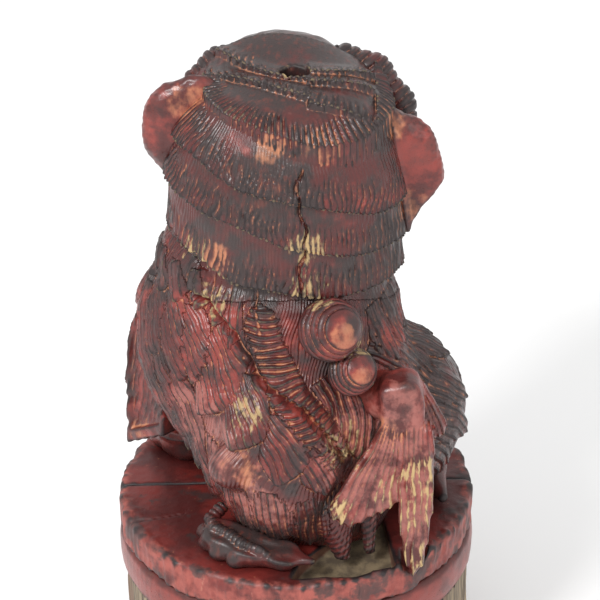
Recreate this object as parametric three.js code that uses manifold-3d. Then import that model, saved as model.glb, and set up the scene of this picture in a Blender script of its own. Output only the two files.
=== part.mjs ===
// Carved wooden guardian lion (foo dog) seated on a round plinth.
// Millimetres, +Z up, origin at the centre of the plinth's underside, front towards -Y.
// The lion is a joined-block carving: a core block with blocks glued and dowelled to it.
import * as THREE from 'three';
import { mergeVertices } from 'three/addons/utils/BufferGeometryUtils.js';
import Module from 'manifold-3d';

const wasm = await Module();
wasm.setup();

// ---- Driving dimensions -------------------------------------------------------------------

const gap = 0.3;                    // glue gap between neighbouring pieces, and round a dowel

// Plinth: four turned layers, from the floor up
const plinthRadius = 88;
const footThickness = 14;
const drumRadius = 85.5;
const drumHeight = 46;
const bandThickness = 20;
const bandBulge = 1.2;              // how far the band stands out past its own edges
const boardThickness = 17;
const boardSeamY = -2;              // the joint between the two top boards

// Lion, measured from the top of the plinth
const bodyTurn = THREE.MathUtils.degToRad(40);   // the body sits askew, the head looks to -Y
const headRoll = THREE.MathUtils.degToRad(-8);   // the left ear is carried higher
const neckZ = 128;                  // joint between the core block and the head block
const headHeight = 103;             // from that joint to the crown
const headAxis = new THREE.Vector2(4, -1);
const headHalfWidth = 54;
const headHalfDepth = 45;
const faceJointY = -30;             // joint between the head block and the face block
const leftJointX = 34;              // joints of the side blocks, in the turned body frame
const rightJointX = -28;
const flankSplitY = -8;             // joint between haunch and shoulder blocks
const mouthRise = 25;               // from the neck joint to the underside of the upper jaw
const socketRadius = 6.5;           // drilled hole in the crown
const socketDepth = 40;
const socketAt = new THREE.Vector2(-3, 0);
const eyeRadius = 7;

const upperCurlRadius = 15.5;       // the two round curls on the back
const lowerCurlRadius = 12;

// Radii of the dowels
const stoutDowel = 8;
const blockDowel = 4;
const earDowel = 2.5;

const crownZ = neckZ + headHeight;

// ---- Solids ---------------------------------------------------------------------------------

// A closed three.js geometry as a solid that can be joined and cut.
function solidOf(geometry) {
  const bare = geometry.clone();
  bare.deleteAttribute('normal');
  bare.deleteAttribute('uv');
  const merged = mergeVertices(bare, 1e-4);
  const corners = merged.index.array;
  const kept = [];
  for (let i = 0; i < corners.length; i += 3) {
    const [a, b, c] = corners.slice(i, i + 3);
    if (a !== b && b !== c && c !== a) kept.push(a, b, c);
  }
  const mesh = new wasm.Mesh({
    numProp: 3,
    vertProperties: merged.attributes.position.array,
    triVerts: new Uint32Array(kept),
  });
  return new wasm.Manifold(mesh);
}

function geometryOf(solid) {
  const mesh = solid.getMesh();
  const geometry = new THREE.BufferGeometry();
  geometry.setAttribute('position', new THREE.BufferAttribute(mesh.vertProperties, 3));
  geometry.setIndex(new THREE.BufferAttribute(mesh.triVerts, 1));
  geometry.computeVertexNormals();
  return geometry;
}

function joined(...solids) {
  return solids.reduce((whole, next) => whole.add(next));
}

// Whatever it is cut by is grown by the glue gap first.
function fitted(shape, ...neighbours) {
  return neighbours.reduce((rest, neighbour) => rest.subtract(neighbour(gap)), shape);
}

const bodyFrame = new THREE.Matrix4().makeRotationZ(bodyTurn);
const plainFrame = new THREE.Matrix4();
const headFrame = new THREE.Matrix4()
  .makeTranslation(headAxis.x, 0, neckZ)
  .multiply(new THREE.Matrix4().makeRotationY(headRoll));

// An egg-shaped lump: centre and half-sizes in a given frame, leaning about Y by an angle.
function lump(frame, [x, y, z], [rx, ry, rz], grow = 0, sides = 12, lean = 0) {
  const geometry = new THREE.SphereGeometry(1, sides, Math.round(sides * 0.6));
  geometry.rotateX(Math.PI / 2);
  geometry.scale(rx + grow, ry + grow, rz + grow);
  geometry.rotateY(lean);
  geometry.translate(x, y, z);
  geometry.applyMatrix4(frame);
  return solidOf(geometry);
}

// A spindle-shaped lump that runs from one point to another.
function spindle(frame, from, to, [thick, wide], grow = 0, sides = 10) {
  const start = new THREE.Vector3(...from);
  const end = new THREE.Vector3(...to);
  const geometry = new THREE.SphereGeometry(1, sides, 8);
  geometry.scale(wide + grow, start.distanceTo(end) / 2 + grow, thick + grow);
  const along = end.clone().sub(start).normalize();
  const turn = new THREE.Quaternion().setFromUnitVectors(new THREE.Vector3(0, 1, 0), along);
  geometry.applyQuaternion(turn);
  geometry.translate(...start.add(end).multiplyScalar(0.5).toArray());
  geometry.applyMatrix4(frame);
  return solidOf(geometry);
}

// A box between two corners.
function block(frame, low, high) {
  const size = high.map((value, i) => value - low[i]);
  const geometry = new THREE.BoxGeometry(...size);
  geometry.translate(...high.map((value, i) => (value + low[i]) / 2));
  geometry.applyMatrix4(frame);
  return solidOf(geometry);
}

// A round rod between two points.
function rod(from, to, radius, sides = 12) {
  const start = new THREE.Vector3(...from);
  const end = new THREE.Vector3(...to);
  const along = end.clone().sub(start);
  const geometry = new THREE.CylinderGeometry(radius, radius, along.length(), sides);
  const turn = new THREE.Quaternion()
    .setFromUnitVectors(new THREE.Vector3(0, 1, 0), along.clone().normalize());
  geometry.applyQuaternion(turn);
  geometry.translate(...start.add(end).multiplyScalar(0.5).toArray());
  return solidOf(geometry);
}

// A turned piece: the profile lists [radius, height] from the bottom axis point to the top one.
function turned(profile, sides = 36) {
  const points = profile.map(([radius, height]) => new THREE.Vector2(radius, height));
  const geometry = new THREE.LatheGeometry(points, sides);
  geometry.rotateX(Math.PI / 2);
  return solidOf(geometry);
}

const far = 400;                    // well past everything, for cutting by a plane

// ---- Plinth ---------------------------------------------------------------------------------

const drumZ = footThickness;
const bandZ = drumZ + drumHeight;
const boardZ = bandZ + bandThickness;
const plinthHeight = boardZ + boardThickness;

function footBoard() {
  return turned([
    [0, 0],
    [plinthRadius - 2, 0],
    [plinthRadius, 2],
    [plinthRadius, footThickness - 3],
    [plinthRadius - 1.5, footThickness - gap / 2],
    [0, footThickness - gap / 2],
  ]);
}

function drum() {
  return turned([
    [0, drumZ + gap / 2],
    [drumRadius, drumZ + gap / 2],
    [drumRadius, bandZ - gap / 2],
    [0, bandZ - gap / 2],
  ]);
}

function bandBoard() {
  const edge = plinthRadius - bandBulge;
  return turned([
    [0, bandZ + gap / 2],
    [edge, bandZ + gap / 2],
    [plinthRadius, bandZ + bandThickness / 3],
    [plinthRadius, bandZ + bandThickness * 2 / 3],
    [edge, boardZ - gap / 2],
    [0, boardZ - gap / 2],
  ]);
}

function topBoard(low, high) {
  const disc = turned([
    [0, boardZ + gap / 2],
    [plinthRadius - 1, boardZ + gap / 2],
    [plinthRadius, boardZ + 3],
    [plinthRadius, plinthHeight - 3],
    [plinthRadius - 2, plinthHeight],
    [0, plinthHeight],
  ]);
  const half = block(plainFrame, [-far, low, 0], [far, high, far]);
  return disc.intersect(half);
}

// ---- Lion: core block, haunches and shoulders -----------------------------------------------

function coreBlock(grow = 0) {
  const carved = joined(
    lump(bodyFrame, [2, 6, neckZ / 2 - 2], [58, 54, neckZ / 2 + 20], grow, 16),
    lump(bodyFrame, [0, -4, neckZ - 20], [52, 50, 44], grow, 16),
  );
  const billet = block(
    bodyFrame,
    [rightJointX + gap / 2 - grow, -far, gap - grow],
    [leftJointX - gap / 2 + grow, far, neckZ - gap / 2 + grow],
  );
  return carved.intersect(billet);
}

function leftHaunch(grow = 0) {
  const carved = joined(
    lump(bodyFrame, [leftJointX, 23, 48], [25, 38, 56], grow, 16),
    lump(bodyFrame, [leftJointX, 14, 92], [18, 34, 40], grow),
  );
  const billet = block(
    bodyFrame,
    [leftJointX + gap / 2 - grow, flankSplitY + gap / 2 - grow, gap - grow],
    [far, far, neckZ - gap / 2 + grow],
  );
  return carved.intersect(billet);
}

function rightHaunch(grow = 0) {
  const carved = joined(
    lump(bodyFrame, [rightJointX - 5, 27, 42], [38, 38, 46], grow, 16),
    lump(bodyFrame, [rightJointX + 2, 18, 88], [22, 36, 42], grow),
  );
  const billet = block(
    bodyFrame,
    [-far, flankSplitY + gap / 2 - grow, gap - grow],
    [rightJointX - gap / 2 + grow, far, neckZ - gap / 2 + grow],
  );
  return carved.intersect(billet);
}

function leftShoulder(grow = 0) {
  const carved = lump(bodyFrame, [leftJointX - 2, -28, 84], [24, 34, 50], grow, 16);
  const billet = block(
    bodyFrame,
    [leftJointX + gap / 2 - grow, -far, gap - grow],
    [far, flankSplitY - gap / 2 + grow, neckZ - gap / 2 + grow],
  );
  return carved.intersect(billet);
}

function rightShoulder(grow = 0) {
  const carved = lump(bodyFrame, [rightJointX + 2, -26, 84], [21, 30, 48], grow, 16);
  const billet = block(
    bodyFrame,
    [-far, -far, gap - grow],
    [rightJointX - gap / 2 + grow, flankSplitY - gap / 2 + grow, neckZ - gap / 2 + grow],
  );
  return carved.intersect(billet);
}

// ---- Lion: legs -------------------------------------------------------------------------------

const onPlinth = () => block(plainFrame, [-far, -far, gap], [far, far, far]);

function foreleg(side, grow = 0) {
  const carved = joined(
    spindle(bodyFrame, [side * 29, -44, 96], [side * 21, -58, -4], [14, 14], grow),
    lump(bodyFrame, [side * 20, -62, 9], [13, 18, 11], grow),
  );
  return carved.intersect(onPlinth());
}

function hindPaw(heel, toe, grow = 0) {
  const carved = joined(
    spindle(bodyFrame, heel, toe, [11, 12], grow),
    lump(bodyFrame, toe, [11, 11, 10], grow),
  );
  return carved.intersect(onPlinth());
}

const leftHindPaw = (grow = 0) => hindPaw([40, 68, 6], [66, 12, 6], grow);
const rightHindPaw = (grow = 0) => hindPaw([-40, 62, 5], [-63, 2, 5], grow);

// A flat-bottomed drape that hangs from the left shoulder, clear of the plinth.
function sideDrape(grow = 0) {
  const outline = new THREE.Shape();
  outline.moveTo(-71, 14);
  outline.lineTo(-44, 14);
  outline.lineTo(-38, 60);
  outline.quadraticCurveTo(-42, 88, -58, 92);
  outline.quadraticCurveTo(-72, 60, -71, 14);
  const drapeThickness = 9;
  const geometry = new THREE.ExtrudeGeometry(outline, {
    depth: drapeThickness,
    bevelEnabled: false,
    curveSegments: 4,
  });
  const drapeX = leftJointX + 8;
  const intoPlace = new THREE.Matrix4().makeBasis(
    new THREE.Vector3(0, 1, 0),
    new THREE.Vector3(0, 0, 1),
    new THREE.Vector3(1, 0, 0),
  );
  geometry.applyMatrix4(intoPlace);
  geometry.translate(drapeX, 0, 0);
  geometry.applyMatrix4(bodyFrame);
  return solidOf(geometry);
}

// ---- Lion: tail and the curls on the back ------------------------------------------------------

const tailRootZ = neckZ - 50;

function tail(grow = 0) {
  return joined(
    lump(bodyFrame, [-2, 71, tailRootZ], [13, 13, 18], grow),
    spindle(bodyFrame, [-2, 68, tailRootZ + 12], [1, 86, -9], [10, 11], grow),
    spindle(bodyFrame, [2, 74, tailRootZ + 2], [34, 66, 26], [8, 9], grow),
    spindle(bodyFrame, [-4, 74, tailRootZ + 14], [-28, 79, 46], [8, 9], grow),
  );
}

const upperCurlAt = [18, 49, neckZ - 9];
const lowerCurlAt = [12.5, 58, neckZ - 30];

function upperCurl(grow = 0) {
  const radius = upperCurlRadius;
  return lump(bodyFrame, upperCurlAt, [radius, radius, radius], grow);
}

function lowerCurl(grow = 0) {
  const radius = lowerCurlRadius;
  return lump(bodyFrame, lowerCurlAt, [radius, radius, radius], grow);
}

// ---- Head --------------------------------------------------------------------------------------

// The mane is carved in tiers like shingles: each tier's lower edge stands proud.
const tierCount = 4;
const tierStep = 2.5;
const lowestTierZ = neckZ + 5;
const highestTierZ = crownZ - 26;
const tierPitch = (highestTierZ - lowestTierZ) / (tierCount - 1);

function maneColumn(grow) {
  const profile = [[0, neckZ + gap / 2 - grow], [headHalfWidth - 6, neckZ + gap / 2 - grow]];
  for (let tier = 0; tier < tierCount; tier += 1) {
    const edge = lowestTierZ + tier * tierPitch;
    const pulledIn = tier === tierCount - 1 ? 7 : 0;
    const width = headHalfWidth - pulledIn + grow;
    profile.push([width - tierStep, edge], [width, edge + 1]);
  }
  profile.push([headHalfWidth - 18 + grow, crownZ - 9], [14 + grow, crownZ - 1 + grow]);
  profile.push([0, crownZ + grow]);
  const points = profile.map(([radius, height]) => new THREE.Vector2(radius, height));
  const geometry = new THREE.LatheGeometry(points, 24);
  geometry.rotateX(Math.PI / 2);
  geometry.scale(1, headHalfDepth / headHalfWidth, 1);
  geometry.translate(headAxis.x, headAxis.y, 0);
  return solidOf(geometry);
}

function headBlock(grow = 0) {
  const rear = block(plainFrame, [-far, faceJointY + gap / 2 - grow, 0], [far, far, far]);
  return maneColumn(grow).intersect(rear);
}

// Face pieces are placed in the rolled head frame, whose origin is on the neck joint.
const eyeAt = (side) => [side * 18, -61, 56];
const browAt = (side) => [side * (headHalfWidth - 18), -26, headHeight - 19];

function faceBlock(grow = 0) {
  const carved = joined(
    lump(headFrame, [0, -36, 42], [headHalfWidth - 12, 32, 42], grow, 16),
    lump(headFrame, [0, -58, 36], [26, 20, 18], grow),
  );
  const joint = faceJointY - gap / 2 + grow;
  const front = block(plainFrame, [-far, -far, neckZ + gap / 2], [far, joint, far]);
  const mouth = block(plainFrame, [-far, -far, 0], [far, -44 - grow, neckZ + mouthRise - grow]);
  return carved.intersect(front).subtract(mouth);
}

function lowerJaw(grow = 0) {
  return lump(headFrame, [0, -49, mouthRise - 11], [21, 24, 7], grow);
}

function tongue() {
  return lump(headFrame, [0, -54, mouthRise - 3.5], [9, 16, 3]);
}

function eye(side, grow = 0) {
  return lump(headFrame, eyeAt(side), [eyeRadius, eyeRadius, eyeRadius], grow, 10);
}

function browCurl(side) {
  return lump(headFrame, browAt(side), [12, 10, 9], 0, 10);
}

const earLean = THREE.MathUtils.degToRad(-9);
const leftEarAt = [headAxis.x + headHalfWidth, -4, crownZ - 36];
const rightEarAt = [headAxis.x - headHalfWidth - 6, 0, crownZ - 55];

function leftEar(grow = 0) {
  return lump(plainFrame, leftEarAt, [14, 7, 25], grow, 12, earLean);
}

function rightEar(grow = 0) {
  return lump(plainFrame, rightEarAt, [15, 8, 26], grow, 12, earLean);
}

// ---- Dowels ------------------------------------------------------------------------------------

// Each dowel joins the named pieces. Ends are in the frame of the lion, from the plinth's top.
const inBody = (...point) => new THREE.Vector3(...point).applyMatrix4(bodyFrame).toArray();
const onDrum = boardZ - plinthHeight;

const dowels = {
  neck_dowel: {
    from: [headAxis.x, 6, neckZ - 26],
    to: [headAxis.x, 6, neckZ + 26],
    radius: stoutDowel,
    joins: ['core_block', 'head_block'],
  },
  face_dowel: {
    from: [headAxis.x, faceJointY - 16, neckZ + 46],
    to: [headAxis.x, faceJointY + 16, neckZ + 46],
    radius: blockDowel,
    joins: ['head_block', 'face_block'],
  },
  left_haunch_dowel: {
    from: inBody(leftJointX - 16, 26, 52),
    to: inBody(leftJointX + 16, 26, 52),
    radius: blockDowel,
    joins: ['core_block', 'left_haunch'],
  },
  right_haunch_dowel: {
    from: inBody(rightJointX - 16, 26, 44),
    to: inBody(rightJointX + 16, 26, 44),
    radius: blockDowel,
    joins: ['core_block', 'right_haunch'],
  },
  left_shoulder_dowel: {
    from: inBody(leftJointX - 14, -26, 84),
    to: inBody(leftJointX + 14, -26, 84),
    radius: blockDowel,
    joins: ['core_block', 'left_shoulder'],
  },
  right_shoulder_dowel: {
    from: inBody(rightJointX - 14, -26, 84),
    to: inBody(rightJointX + 14, -26, 84),
    radius: blockDowel,
    joins: ['core_block', 'right_shoulder'],
  },
  tail_dowel: {
    from: inBody(-2, 36, tailRootZ - 4),
    to: inBody(-2, 74, tailRootZ - 4),
    radius: blockDowel,
    joins: ['core_block', 'tail'],
  },
  left_ear_dowel: {
    from: [leftEarAt[0] - 20, leftEarAt[1], leftEarAt[2]],
    to: [leftEarAt[0] + 6, leftEarAt[1], leftEarAt[2]],
    radius: earDowel,
    joins: ['head_block', 'left_ear'],
  },
  right_ear_dowel: {
    from: [rightEarAt[0] + 20, rightEarAt[1], rightEarAt[2]],
    to: [rightEarAt[0] - 6, rightEarAt[1], rightEarAt[2]],
    radius: earDowel,
    joins: ['head_block', 'right_ear'],
  },
  figure_dowel_rear: {
    from: inBody(2, 26, onDrum + 3),
    to: inBody(2, 26, 24),
    radius: stoutDowel,
    joins: ['core_block', 'plinth_top_rear'],
  },
  figure_dowel_front: {
    from: inBody(2, -18, onDrum + 3),
    to: inBody(2, -18, 24),
    radius: stoutDowel,
    joins: ['core_block', 'plinth_top_front'],
  },
};

// ---- Finishes ----------------------------------------------------------------------------------

const finish = (color, roughness) => new THREE.MeshStandardMaterial({ color, roughness, metalness: 0 });
const lacquer = () => finish(0x96483f, 0.5);
const agedLacquer = () => finish(0x7a4038, 0.6);
const wornGilt = () => finish(0xb88a58, 0.55);
const boardRed = () => finish(0x6b2b26, 0.55);
const bareWood = () => finish(0x7d6c55, 0.8);
const dowelWood = () => finish(0xb59468, 0.8);
const eyeBlack = () => finish(0x1c1714, 0.25);

// ---- Assembly ----------------------------------------------------------------------------------

const figure = {
  core_block: [coreBlock(), lacquer()],
  left_haunch: [leftHaunch(), lacquer()],
  right_haunch: [rightHaunch(), lacquer()],
  left_shoulder: [leftShoulder(), lacquer()],
  right_shoulder: [rightShoulder(), lacquer()],
  head_block: [headBlock(), agedLacquer()],
};

const leftForeleg = (grow = 0) => foreleg(1, grow);
const rightForeleg = (grow = 0) => foreleg(-1, grow);
const leftBlocks = [coreBlock, leftHaunch, leftShoulder];
const rightBlocks = [coreBlock, rightHaunch, rightShoulder];

figure.left_foreleg = [fitted(leftForeleg(), ...leftBlocks), lacquer()];
figure.right_foreleg = [fitted(rightForeleg(), ...rightBlocks), lacquer()];
figure.left_hind_paw = [fitted(leftHindPaw(), ...leftBlocks), lacquer()];
figure.right_hind_paw = [fitted(rightHindPaw(), ...rightBlocks), lacquer()];
figure.left_side_drape = [fitted(sideDrape(), ...leftBlocks, leftForeleg), lacquer()];
figure.tail = [
  fitted(tail(), coreBlock, leftHaunch, rightHaunch, leftHindPaw, rightHindPaw),
  lacquer(),
];
figure.upper_back_curl = [fitted(upperCurl(), coreBlock, leftHaunch, headBlock), lacquer()];
figure.lower_back_curl = [fitted(lowerCurl(), coreBlock, leftHaunch, upperCurl), lacquer()];

const leftEye = (grow = 0) => eye(1, grow);
const rightEye = (grow = 0) => eye(-1, grow);
figure.face_block = [fitted(faceBlock(), leftEye, rightEye), lacquer()];
figure.left_eye = [leftEye(), eyeBlack()];
figure.right_eye = [rightEye(), eyeBlack()];
figure.lower_jaw = [fitted(lowerJaw(), headBlock, faceBlock), lacquer()];
figure.tongue = [fitted(tongue(), headBlock, faceBlock, lowerJaw), lacquer()];
figure.left_brow_curl = [fitted(browCurl(1), headBlock, faceBlock), agedLacquer()];
figure.right_brow_curl = [fitted(browCurl(-1), headBlock, faceBlock), agedLacquer()];
figure.left_ear = [fitted(leftEar(), headBlock), wornGilt()];
figure.right_ear = [fitted(rightEar(), headBlock), lacquer()];

const plinth = {
  plinth_foot_board: [footBoard(), boardRed()],
  plinth_drum: [drum(), bareWood()],
  plinth_band_board: [bandBoard(), lacquer()],
  plinth_top_front: [topBoard(-far, boardSeamY - gap / 2), boardRed()],
  plinth_top_rear: [topBoard(boardSeamY + gap / 2, far), boardRed()],
};

// The tail's tip hangs over the rim, so the rim is cut back round it.
for (const layer of ['plinth_top_rear', 'plinth_band_board']) {
  plinth[layer][0] = plinth[layer][0].subtract(tail(gap).translate(0, 0, plinthHeight));
}

// Dowel holes, then the dowels. Plinth pieces are measured from the floor, the lion from the top.
const holeSource = (name) => (name in figure ? figure : plinth);
for (const [name, { from, to, radius, joins }] of Object.entries(dowels)) {
  const along = new THREE.Vector3(...to).sub(new THREE.Vector3(...from)).normalize();
  const holeFrom = new THREE.Vector3(...from).addScaledVector(along, -gap).toArray();
  const holeTo = new THREE.Vector3(...to).addScaledVector(along, gap).toArray();
  for (const piece of joins) {
    const lift = piece in figure ? 0 : plinthHeight;
    const hole = rod(holeFrom, holeTo, radius + gap).translate(0, 0, lift);
    holeSource(piece)[piece][0] = holeSource(piece)[piece][0].subtract(hole);
  }
  figure[name] = [rod(from, to, radius), dowelWood()];
}

// One dowel on the axis ties the drum to the boards below and above it.
const drumDowelLow = 4;
const drumDowelHigh = boardZ - 4;
const drumDowelHole = rod([0, 0, drumDowelLow - gap], [0, 0, drumDowelHigh + gap], stoutDowel + gap);
for (const layer of ['plinth_foot_board', 'plinth_drum', 'plinth_band_board']) {
  plinth[layer][0] = plinth[layer][0].subtract(drumDowelHole);
}
plinth.plinth_drum_dowel = [rod([0, 0, drumDowelLow], [0, 0, drumDowelHigh], stoutDowel), dowelWood()];

// The drilled socket in the crown.
const socket = rod(
  [socketAt.x, socketAt.y, crownZ - socketDepth],
  [socketAt.x, socketAt.y, crownZ + 10],
  socketRadius,
  24,
);
figure.head_block[0] = figure.head_block[0].subtract(socket);

function groupOf(pieces) {
  const group = new THREE.Group();
  for (const [name, [solid, material]] of Object.entries(pieces)) {
    const mesh = new THREE.Mesh(geometryOf(solid), material);
    mesh.name = name;
    group.add(mesh);
  }
  return group;
}

const lion = groupOf(figure);
lion.position.z = plinthHeight;
const group = new THREE.Group();
group.add(groupOf(plinth), lion);

export default group;
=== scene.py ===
"""Carved and lacquered guardian lion on a round plinth: the finished look around the CAD frame.

The lion is carved as distance fields in millimetres, measured from the plinth's top, sawn apart
along the joints of the CAD blocks, and given an aged lacquer finish.
"""
import math
import bmesh
import bpy
import numpy as np
import openvdb
from mathutils import Matrix, Vector


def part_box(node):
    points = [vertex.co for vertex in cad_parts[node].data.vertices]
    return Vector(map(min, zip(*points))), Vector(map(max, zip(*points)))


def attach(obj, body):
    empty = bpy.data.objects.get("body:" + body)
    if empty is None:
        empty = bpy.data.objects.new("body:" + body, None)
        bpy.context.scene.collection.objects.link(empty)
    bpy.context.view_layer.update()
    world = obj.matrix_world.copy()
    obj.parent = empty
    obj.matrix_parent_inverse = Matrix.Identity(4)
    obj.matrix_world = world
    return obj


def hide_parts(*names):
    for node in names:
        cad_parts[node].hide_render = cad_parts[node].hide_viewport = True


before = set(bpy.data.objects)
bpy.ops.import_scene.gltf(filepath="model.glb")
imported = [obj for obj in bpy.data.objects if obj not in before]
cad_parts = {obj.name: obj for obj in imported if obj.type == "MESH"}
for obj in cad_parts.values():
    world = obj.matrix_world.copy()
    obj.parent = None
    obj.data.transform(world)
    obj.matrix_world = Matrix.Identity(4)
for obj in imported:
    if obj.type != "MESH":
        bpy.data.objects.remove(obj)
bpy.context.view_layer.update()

MM = 0.001
COARSE = 1.0
FIGURE_GRID = 0.72 * COARSE             # carving grid for the lion, mm
SMALL_GRID = 0.6 * COARSE               # for its small pieces
LEG_GRID = 1.15 * SMALL_GRID            # for the forelegs
PLINTH_GRID = 1.0 * COARSE              # for the plinth
FINE_ROUNDS, BROAD_ROUNDS = 5, 30       # rounds of smoothing that tell cuts and hollows from the form


def corner_mm(node, end):
    """The lowest (0) or highest (1) corner of a CAD node in millimetres."""
    return np.array(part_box(node)[end]) / MM


PLINTH_TOP = corner_mm("plinth_top_rear", 1)[2]
PLINTH_RADIUS = corner_mm("plinth_foot_board", 1)[0]
DRUM_RADIUS = corner_mm("plinth_drum", 1)[0]
FOOT_TOP = corner_mm("plinth_foot_board", 1)[2]
DRUM_TOP = corner_mm("plinth_drum", 1)[2]
BAND_TOP = corner_mm("plinth_band_board", 1)[2]
BOARD_SEAM = corner_mm("plinth_top_front", 1)[1]
NECK = corner_mm("head_block", 0)[2] - PLINTH_TOP
CROWN = corner_mm("head_block", 1)[2] - PLINTH_TOP
FACE_JOINT = corner_mm("head_block", 0)[1]
BODY_TURN = math.radians(40)            # the body sits askew under the head
HEAD_ROLL = math.radians(-8)            # the left ear is carried higher
LEFT_JOINT, RIGHT_JOINT, FLANK_SPLIT = 34.0, -28.0, -8.0     # saw cuts through the body
JOINT_GAP = 0.3                         # between blocks that are carved apart
LAYER_GAP = 0.15                        # half the open line between the plinth's boards


# ---- Carving tools: every field takes an N x 3 array of points in millimetres --------------------

def array(*values):
    return np.array(values, np.float32)


def turned(p, angle):
    """Points seen from a frame turned about the upright axis."""
    c, s = math.cos(angle), math.sin(angle)
    return np.stack((c * p[:, 0] + s * p[:, 1], c * p[:, 1] - s * p[:, 0], p[:, 2]), axis=1)


def body_point(x, y, z):
    """A place in the turned body frame, as a place in the lion's own frame."""
    c, s = math.cos(BODY_TURN), math.sin(BODY_TURN)
    return array(c * x - s * y, s * x + c * y, z)


def rolled(p):
    """Points seen from the rolled head frame, whose origin is on the neck joint."""
    c, s = math.cos(HEAD_ROLL), math.sin(HEAD_ROLL)
    x = p[:, 0] - HEAD_AXIS[0]
    z = p[:, 2] - NECK
    return np.stack((c * x - s * z, p[:, 1], s * x + c * z), axis=1)


def egg(p, centre, radii):
    """Distance to an egg-shaped lump, close to true near its surface."""
    q = p - array(*centre)
    r = array(*radii)
    inner = np.sqrt(((q / r) ** 2).sum(1))
    outer = np.sqrt(((q / (r * r)) ** 2).sum(1))
    return inner * (inner - 1) / np.maximum(outer, 1e-6)


def limb(p, start, end, r0, r1, flat=(1, 1, 1)):
    """Distance to a round limb that tapers from one end to the other, flattened along an axis."""
    squeeze = array(*flat)
    q = p / squeeze
    a = array(*start) / squeeze
    along = array(*end) / squeeze - a
    t = np.clip(((q - a) @ along) / (along @ along), 0, 1)
    nearest = a + t[:, None] * along
    away = np.sqrt(((q - nearest) ** 2).sum(1))
    return (away - (r0 + (r1 - r0) * t)) * float(squeeze.min())


def chain(p, places, radii, flat=(1, 1, 1), soft=2.0):
    """A limb that runs through several places."""
    d = None
    for i in range(len(places) - 1):
        part = limb(p, places[i], places[i + 1], radii[i], radii[i + 1], flat)
        d = part if d is None else merge(d, part, soft)
    return d


def merge(a, b, soft):
    """Two forms run into each other with a fillet about as wide as soft."""
    h = np.clip(0.5 + 0.5 * (b - a) / soft, 0, 1)
    return b + (a - b) * h - soft * h * (1 - h)


def cut(a, b, soft):
    """Form a with form b cut out of it."""
    return -merge(-a, b, soft)


def both(a, b, soft):
    """What two forms have in common, with the edge eased about as wide as soft."""
    return -merge(-a, -b, soft)


def from_axis(p):
    """Distance from the upright axis."""
    return np.hypot(p[:, 0], p[:, 1])


def stretched(p, share):
    """Points squeezed in height, so that unevenness drawn on them runs upright."""
    return np.stack((p[:, 0], p[:, 1], p[:, 2] * share), 1)


def mirrored(p):
    """Points folded over the middle plane, so that the left side's carving serves both."""
    return np.stack((np.abs(p[:, 0]), p[:, 1], p[:, 2]), 1)


def outline(across, up, corners, soft=3.0):
    """Distance to a convex outline drawn in two of the coordinates."""
    corners = array(*corners)
    middle = corners.mean(0)
    d = None
    for start, end in zip(corners, np.roll(corners, -1, axis=0)):
        along = (end - start) / np.linalg.norm(end - start)
        outward = array(along[1], -along[0])
        if outward @ (middle - start) > 0:
            outward = -outward
        side = (across - start[0]) * outward[0] + (up - start[1]) * outward[1]
        d = side if d is None else both(d, side, soft)
    return d


def ramp(lo, hi, x):
    """0 at lo, 1 at hi, eased between. Running down where lo is above hi."""
    t = np.clip((x - lo) / (hi - lo), 0, 1)
    return t * t * (3 - 2 * t)


def scoop(phase):
    """Gouge strokes side by side: 1 in the middle of each cut, 0 on the sharp ridge between."""
    across = 2 * (phase - np.floor(phase)) - 1
    return 1 - across * across


def notch(phase):
    """Round cords side by side, with a sharp notch between: 1 in each notch, 0 on the cords."""
    return (1 - scoop(phase)) ** 2


def waves(p, size, seed):
    """Soft random unevenness between about -1 and 1, of a given size in millimetres."""
    rng = np.random.default_rng(seed)
    total = 0
    for _ in range(6):
        direction = rng.normal(size=3)
        direction *= rng.uniform(0.7, 1.5) / np.linalg.norm(direction) * 2 * math.pi / size
        total = total + np.sin(p @ direction.astype(np.float32) + rng.uniform(0, 6.28))
    return total / 3


def sculpt(field, low, high, voxel):
    """Meshes the zero surface of a field inside a box, working finely only near the surface."""
    ratio = 4                           # fine cells along a coarse one
    batch = 150000                      # points worked on at a time
    low = array(*low)
    cells = np.ceil((array(*high) - low) / (voxel * ratio)).astype(int) + 1
    axes = [low[i] + (np.arange(cells[i]) + 0.5) * voxel * ratio for i in range(3)]
    centres = np.stack(np.meshgrid(*axes, indexing="ij"), -1).reshape(-1, 3).astype(np.float32)
    rough = field(centres)
    reach = voxel * ratio * 0.9 + 2.5
    near = np.abs(rough) < reach
    dense = np.sign(rough).reshape(cells) * reach
    for axis in range(3):
        dense = np.repeat(dense, ratio, axis)
    dense = dense.astype(np.float32)
    index = np.argwhere(near.reshape(cells))
    steps = np.stack(np.meshgrid(*[np.arange(ratio)] * 3, indexing="ij"), -1).reshape(-1, 3)
    fine = (index[:, None, :] * ratio + steps[None]).reshape(-1, 3)
    values = np.empty(len(fine), np.float32)
    for i in range(0, len(fine), batch):
        some = (low + (fine[i:i + batch] + 0.5) * voxel).astype(np.float32)
        values[i:i + batch] = field(some)
    dense[fine[:, 0], fine[:, 1], fine[:, 2]] = values
    grid = openvdb.FloatGrid(background=reach)
    grid.copyFromArray(dense)
    points, quads = grid.convertToQuads(isovalue=0.0)
    points = points * voxel + (low + 0.5 * voxel)
    return points.astype(np.float32), quads[:, ::-1].astype(np.int64)


# ---- Where the surface has hollows and proud edges, for the finish -------------------------------

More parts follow.
